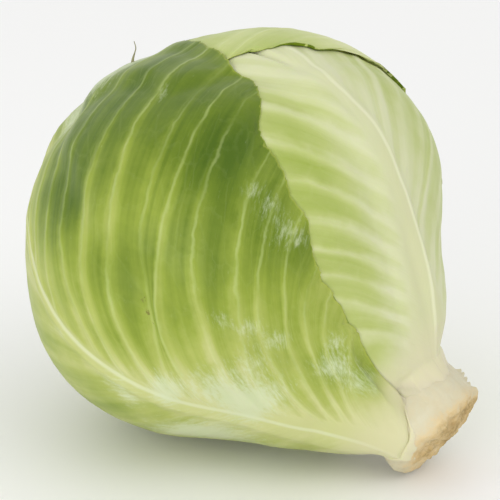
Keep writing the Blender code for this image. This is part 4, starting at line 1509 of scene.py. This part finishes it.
def camera_axes():
    """The camera's right, its up, and the direction from the head towards it."""
    azimuth, elevation = math.radians(AZIMUTH), math.radians(ELEVATION)
    level = Vector((math.sin(azimuth), -math.cos(azimuth), 0))
    back = level * math.cos(elevation) + Vector((0, 0, math.sin(elevation)))
    right = Vector((math.cos(azimuth), math.sin(azimuth), 0))
    return right, back.cross(right), back


def add_camera():
    right, up, back = camera_axes()
    data = bpy.data.cameras.new("camera")
    data.lens = LENS
    data.shift_x, data.shift_y = CAMERA_SHIFT
    data.clip_end = 50
    camera = bpy.data.objects.new("camera", data)
    turn = Matrix((right, up, back)).transposed().to_4x4()
    camera.matrix_world = Matrix.Translation(Vector(HEAD_CENTRE) + back * CAMERA_DISTANCE) @ turn
    bpy.context.scene.collection.objects.link(camera)
    bpy.context.scene.camera = camera


def add_light(name, place, size, power):
    data = bpy.data.lights.new(name, "AREA")
    data.size = size
    data.energy = power
    light = bpy.data.objects.new(name, data)
    aim = Vector(HEAD_CENTRE) - Vector(place)
    light.rotation_euler = aim.to_track_quat("-Z", "Y").to_euler()
    light.location = place
    bpy.context.scene.collection.objects.link(light)


def add_floor():
    mesh = bpy.data.meshes.new("floor")
    corners = [(x * FLOOR_REACH, y * FLOOR_REACH, 0) for x, y in ((-1, -1), (1, -1), (1, 1), (-1, 1))]
    mesh.from_pydata(corners, [], [(0, 1, 2, 3)])
    nodes = Nodes("floor")
    nodes.set_shader({"Base Color": FLOOR_COLOUR, "Roughness": 0.8})
    mesh.materials.append(nodes.material)
    floor = bpy.data.objects.new("floor", mesh)
    bpy.context.scene.collection.objects.link(floor)
    floor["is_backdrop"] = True


def add_world():
    world = bpy.data.worlds.new("studio")
    world.use_nodes = True
    background = world.node_tree.nodes["Background"]
    background.inputs["Color"].default_value = (1, 1, 1, 1)
    background.inputs["Strength"].default_value = WORLD_STRENGTH
    bpy.context.scene.world = world


def main():
    add_camera()
    add_floor()
    add_world()
    for name, place, size, power in LIGHTS:
        add_light(name, place, size, power)
    bpy.context.scene.view_settings.view_transform = "Standard"

    heart = make_heart()
    trees = [tree_of(heart)]
    plan = (
        (INNER_LEAF, HIDDEN_GRID, inner_looks, PALE_LOOK, "pale_leaf"),
        (UPPER_LEAF, WRAPPER_GRID, upper_looks, PALE_LOOK, "pale_leaf"),
        (BACK_LEAF, WRAPPER_GRID, back_looks, BACK_LOOK, "back_leaf"),
        (OUTER_LEAF, WRAPPER_GRID, front_looks, OUTER_LOOK, "outer_leaf"),
    )
    for leaf, size, looks_of, look, slot in plan:
        obj = make_wrapper(leaf, size, trees, looks_of, look)
        trees.append(tree_of(obj))
    make_stem()
    make_hair()


main()
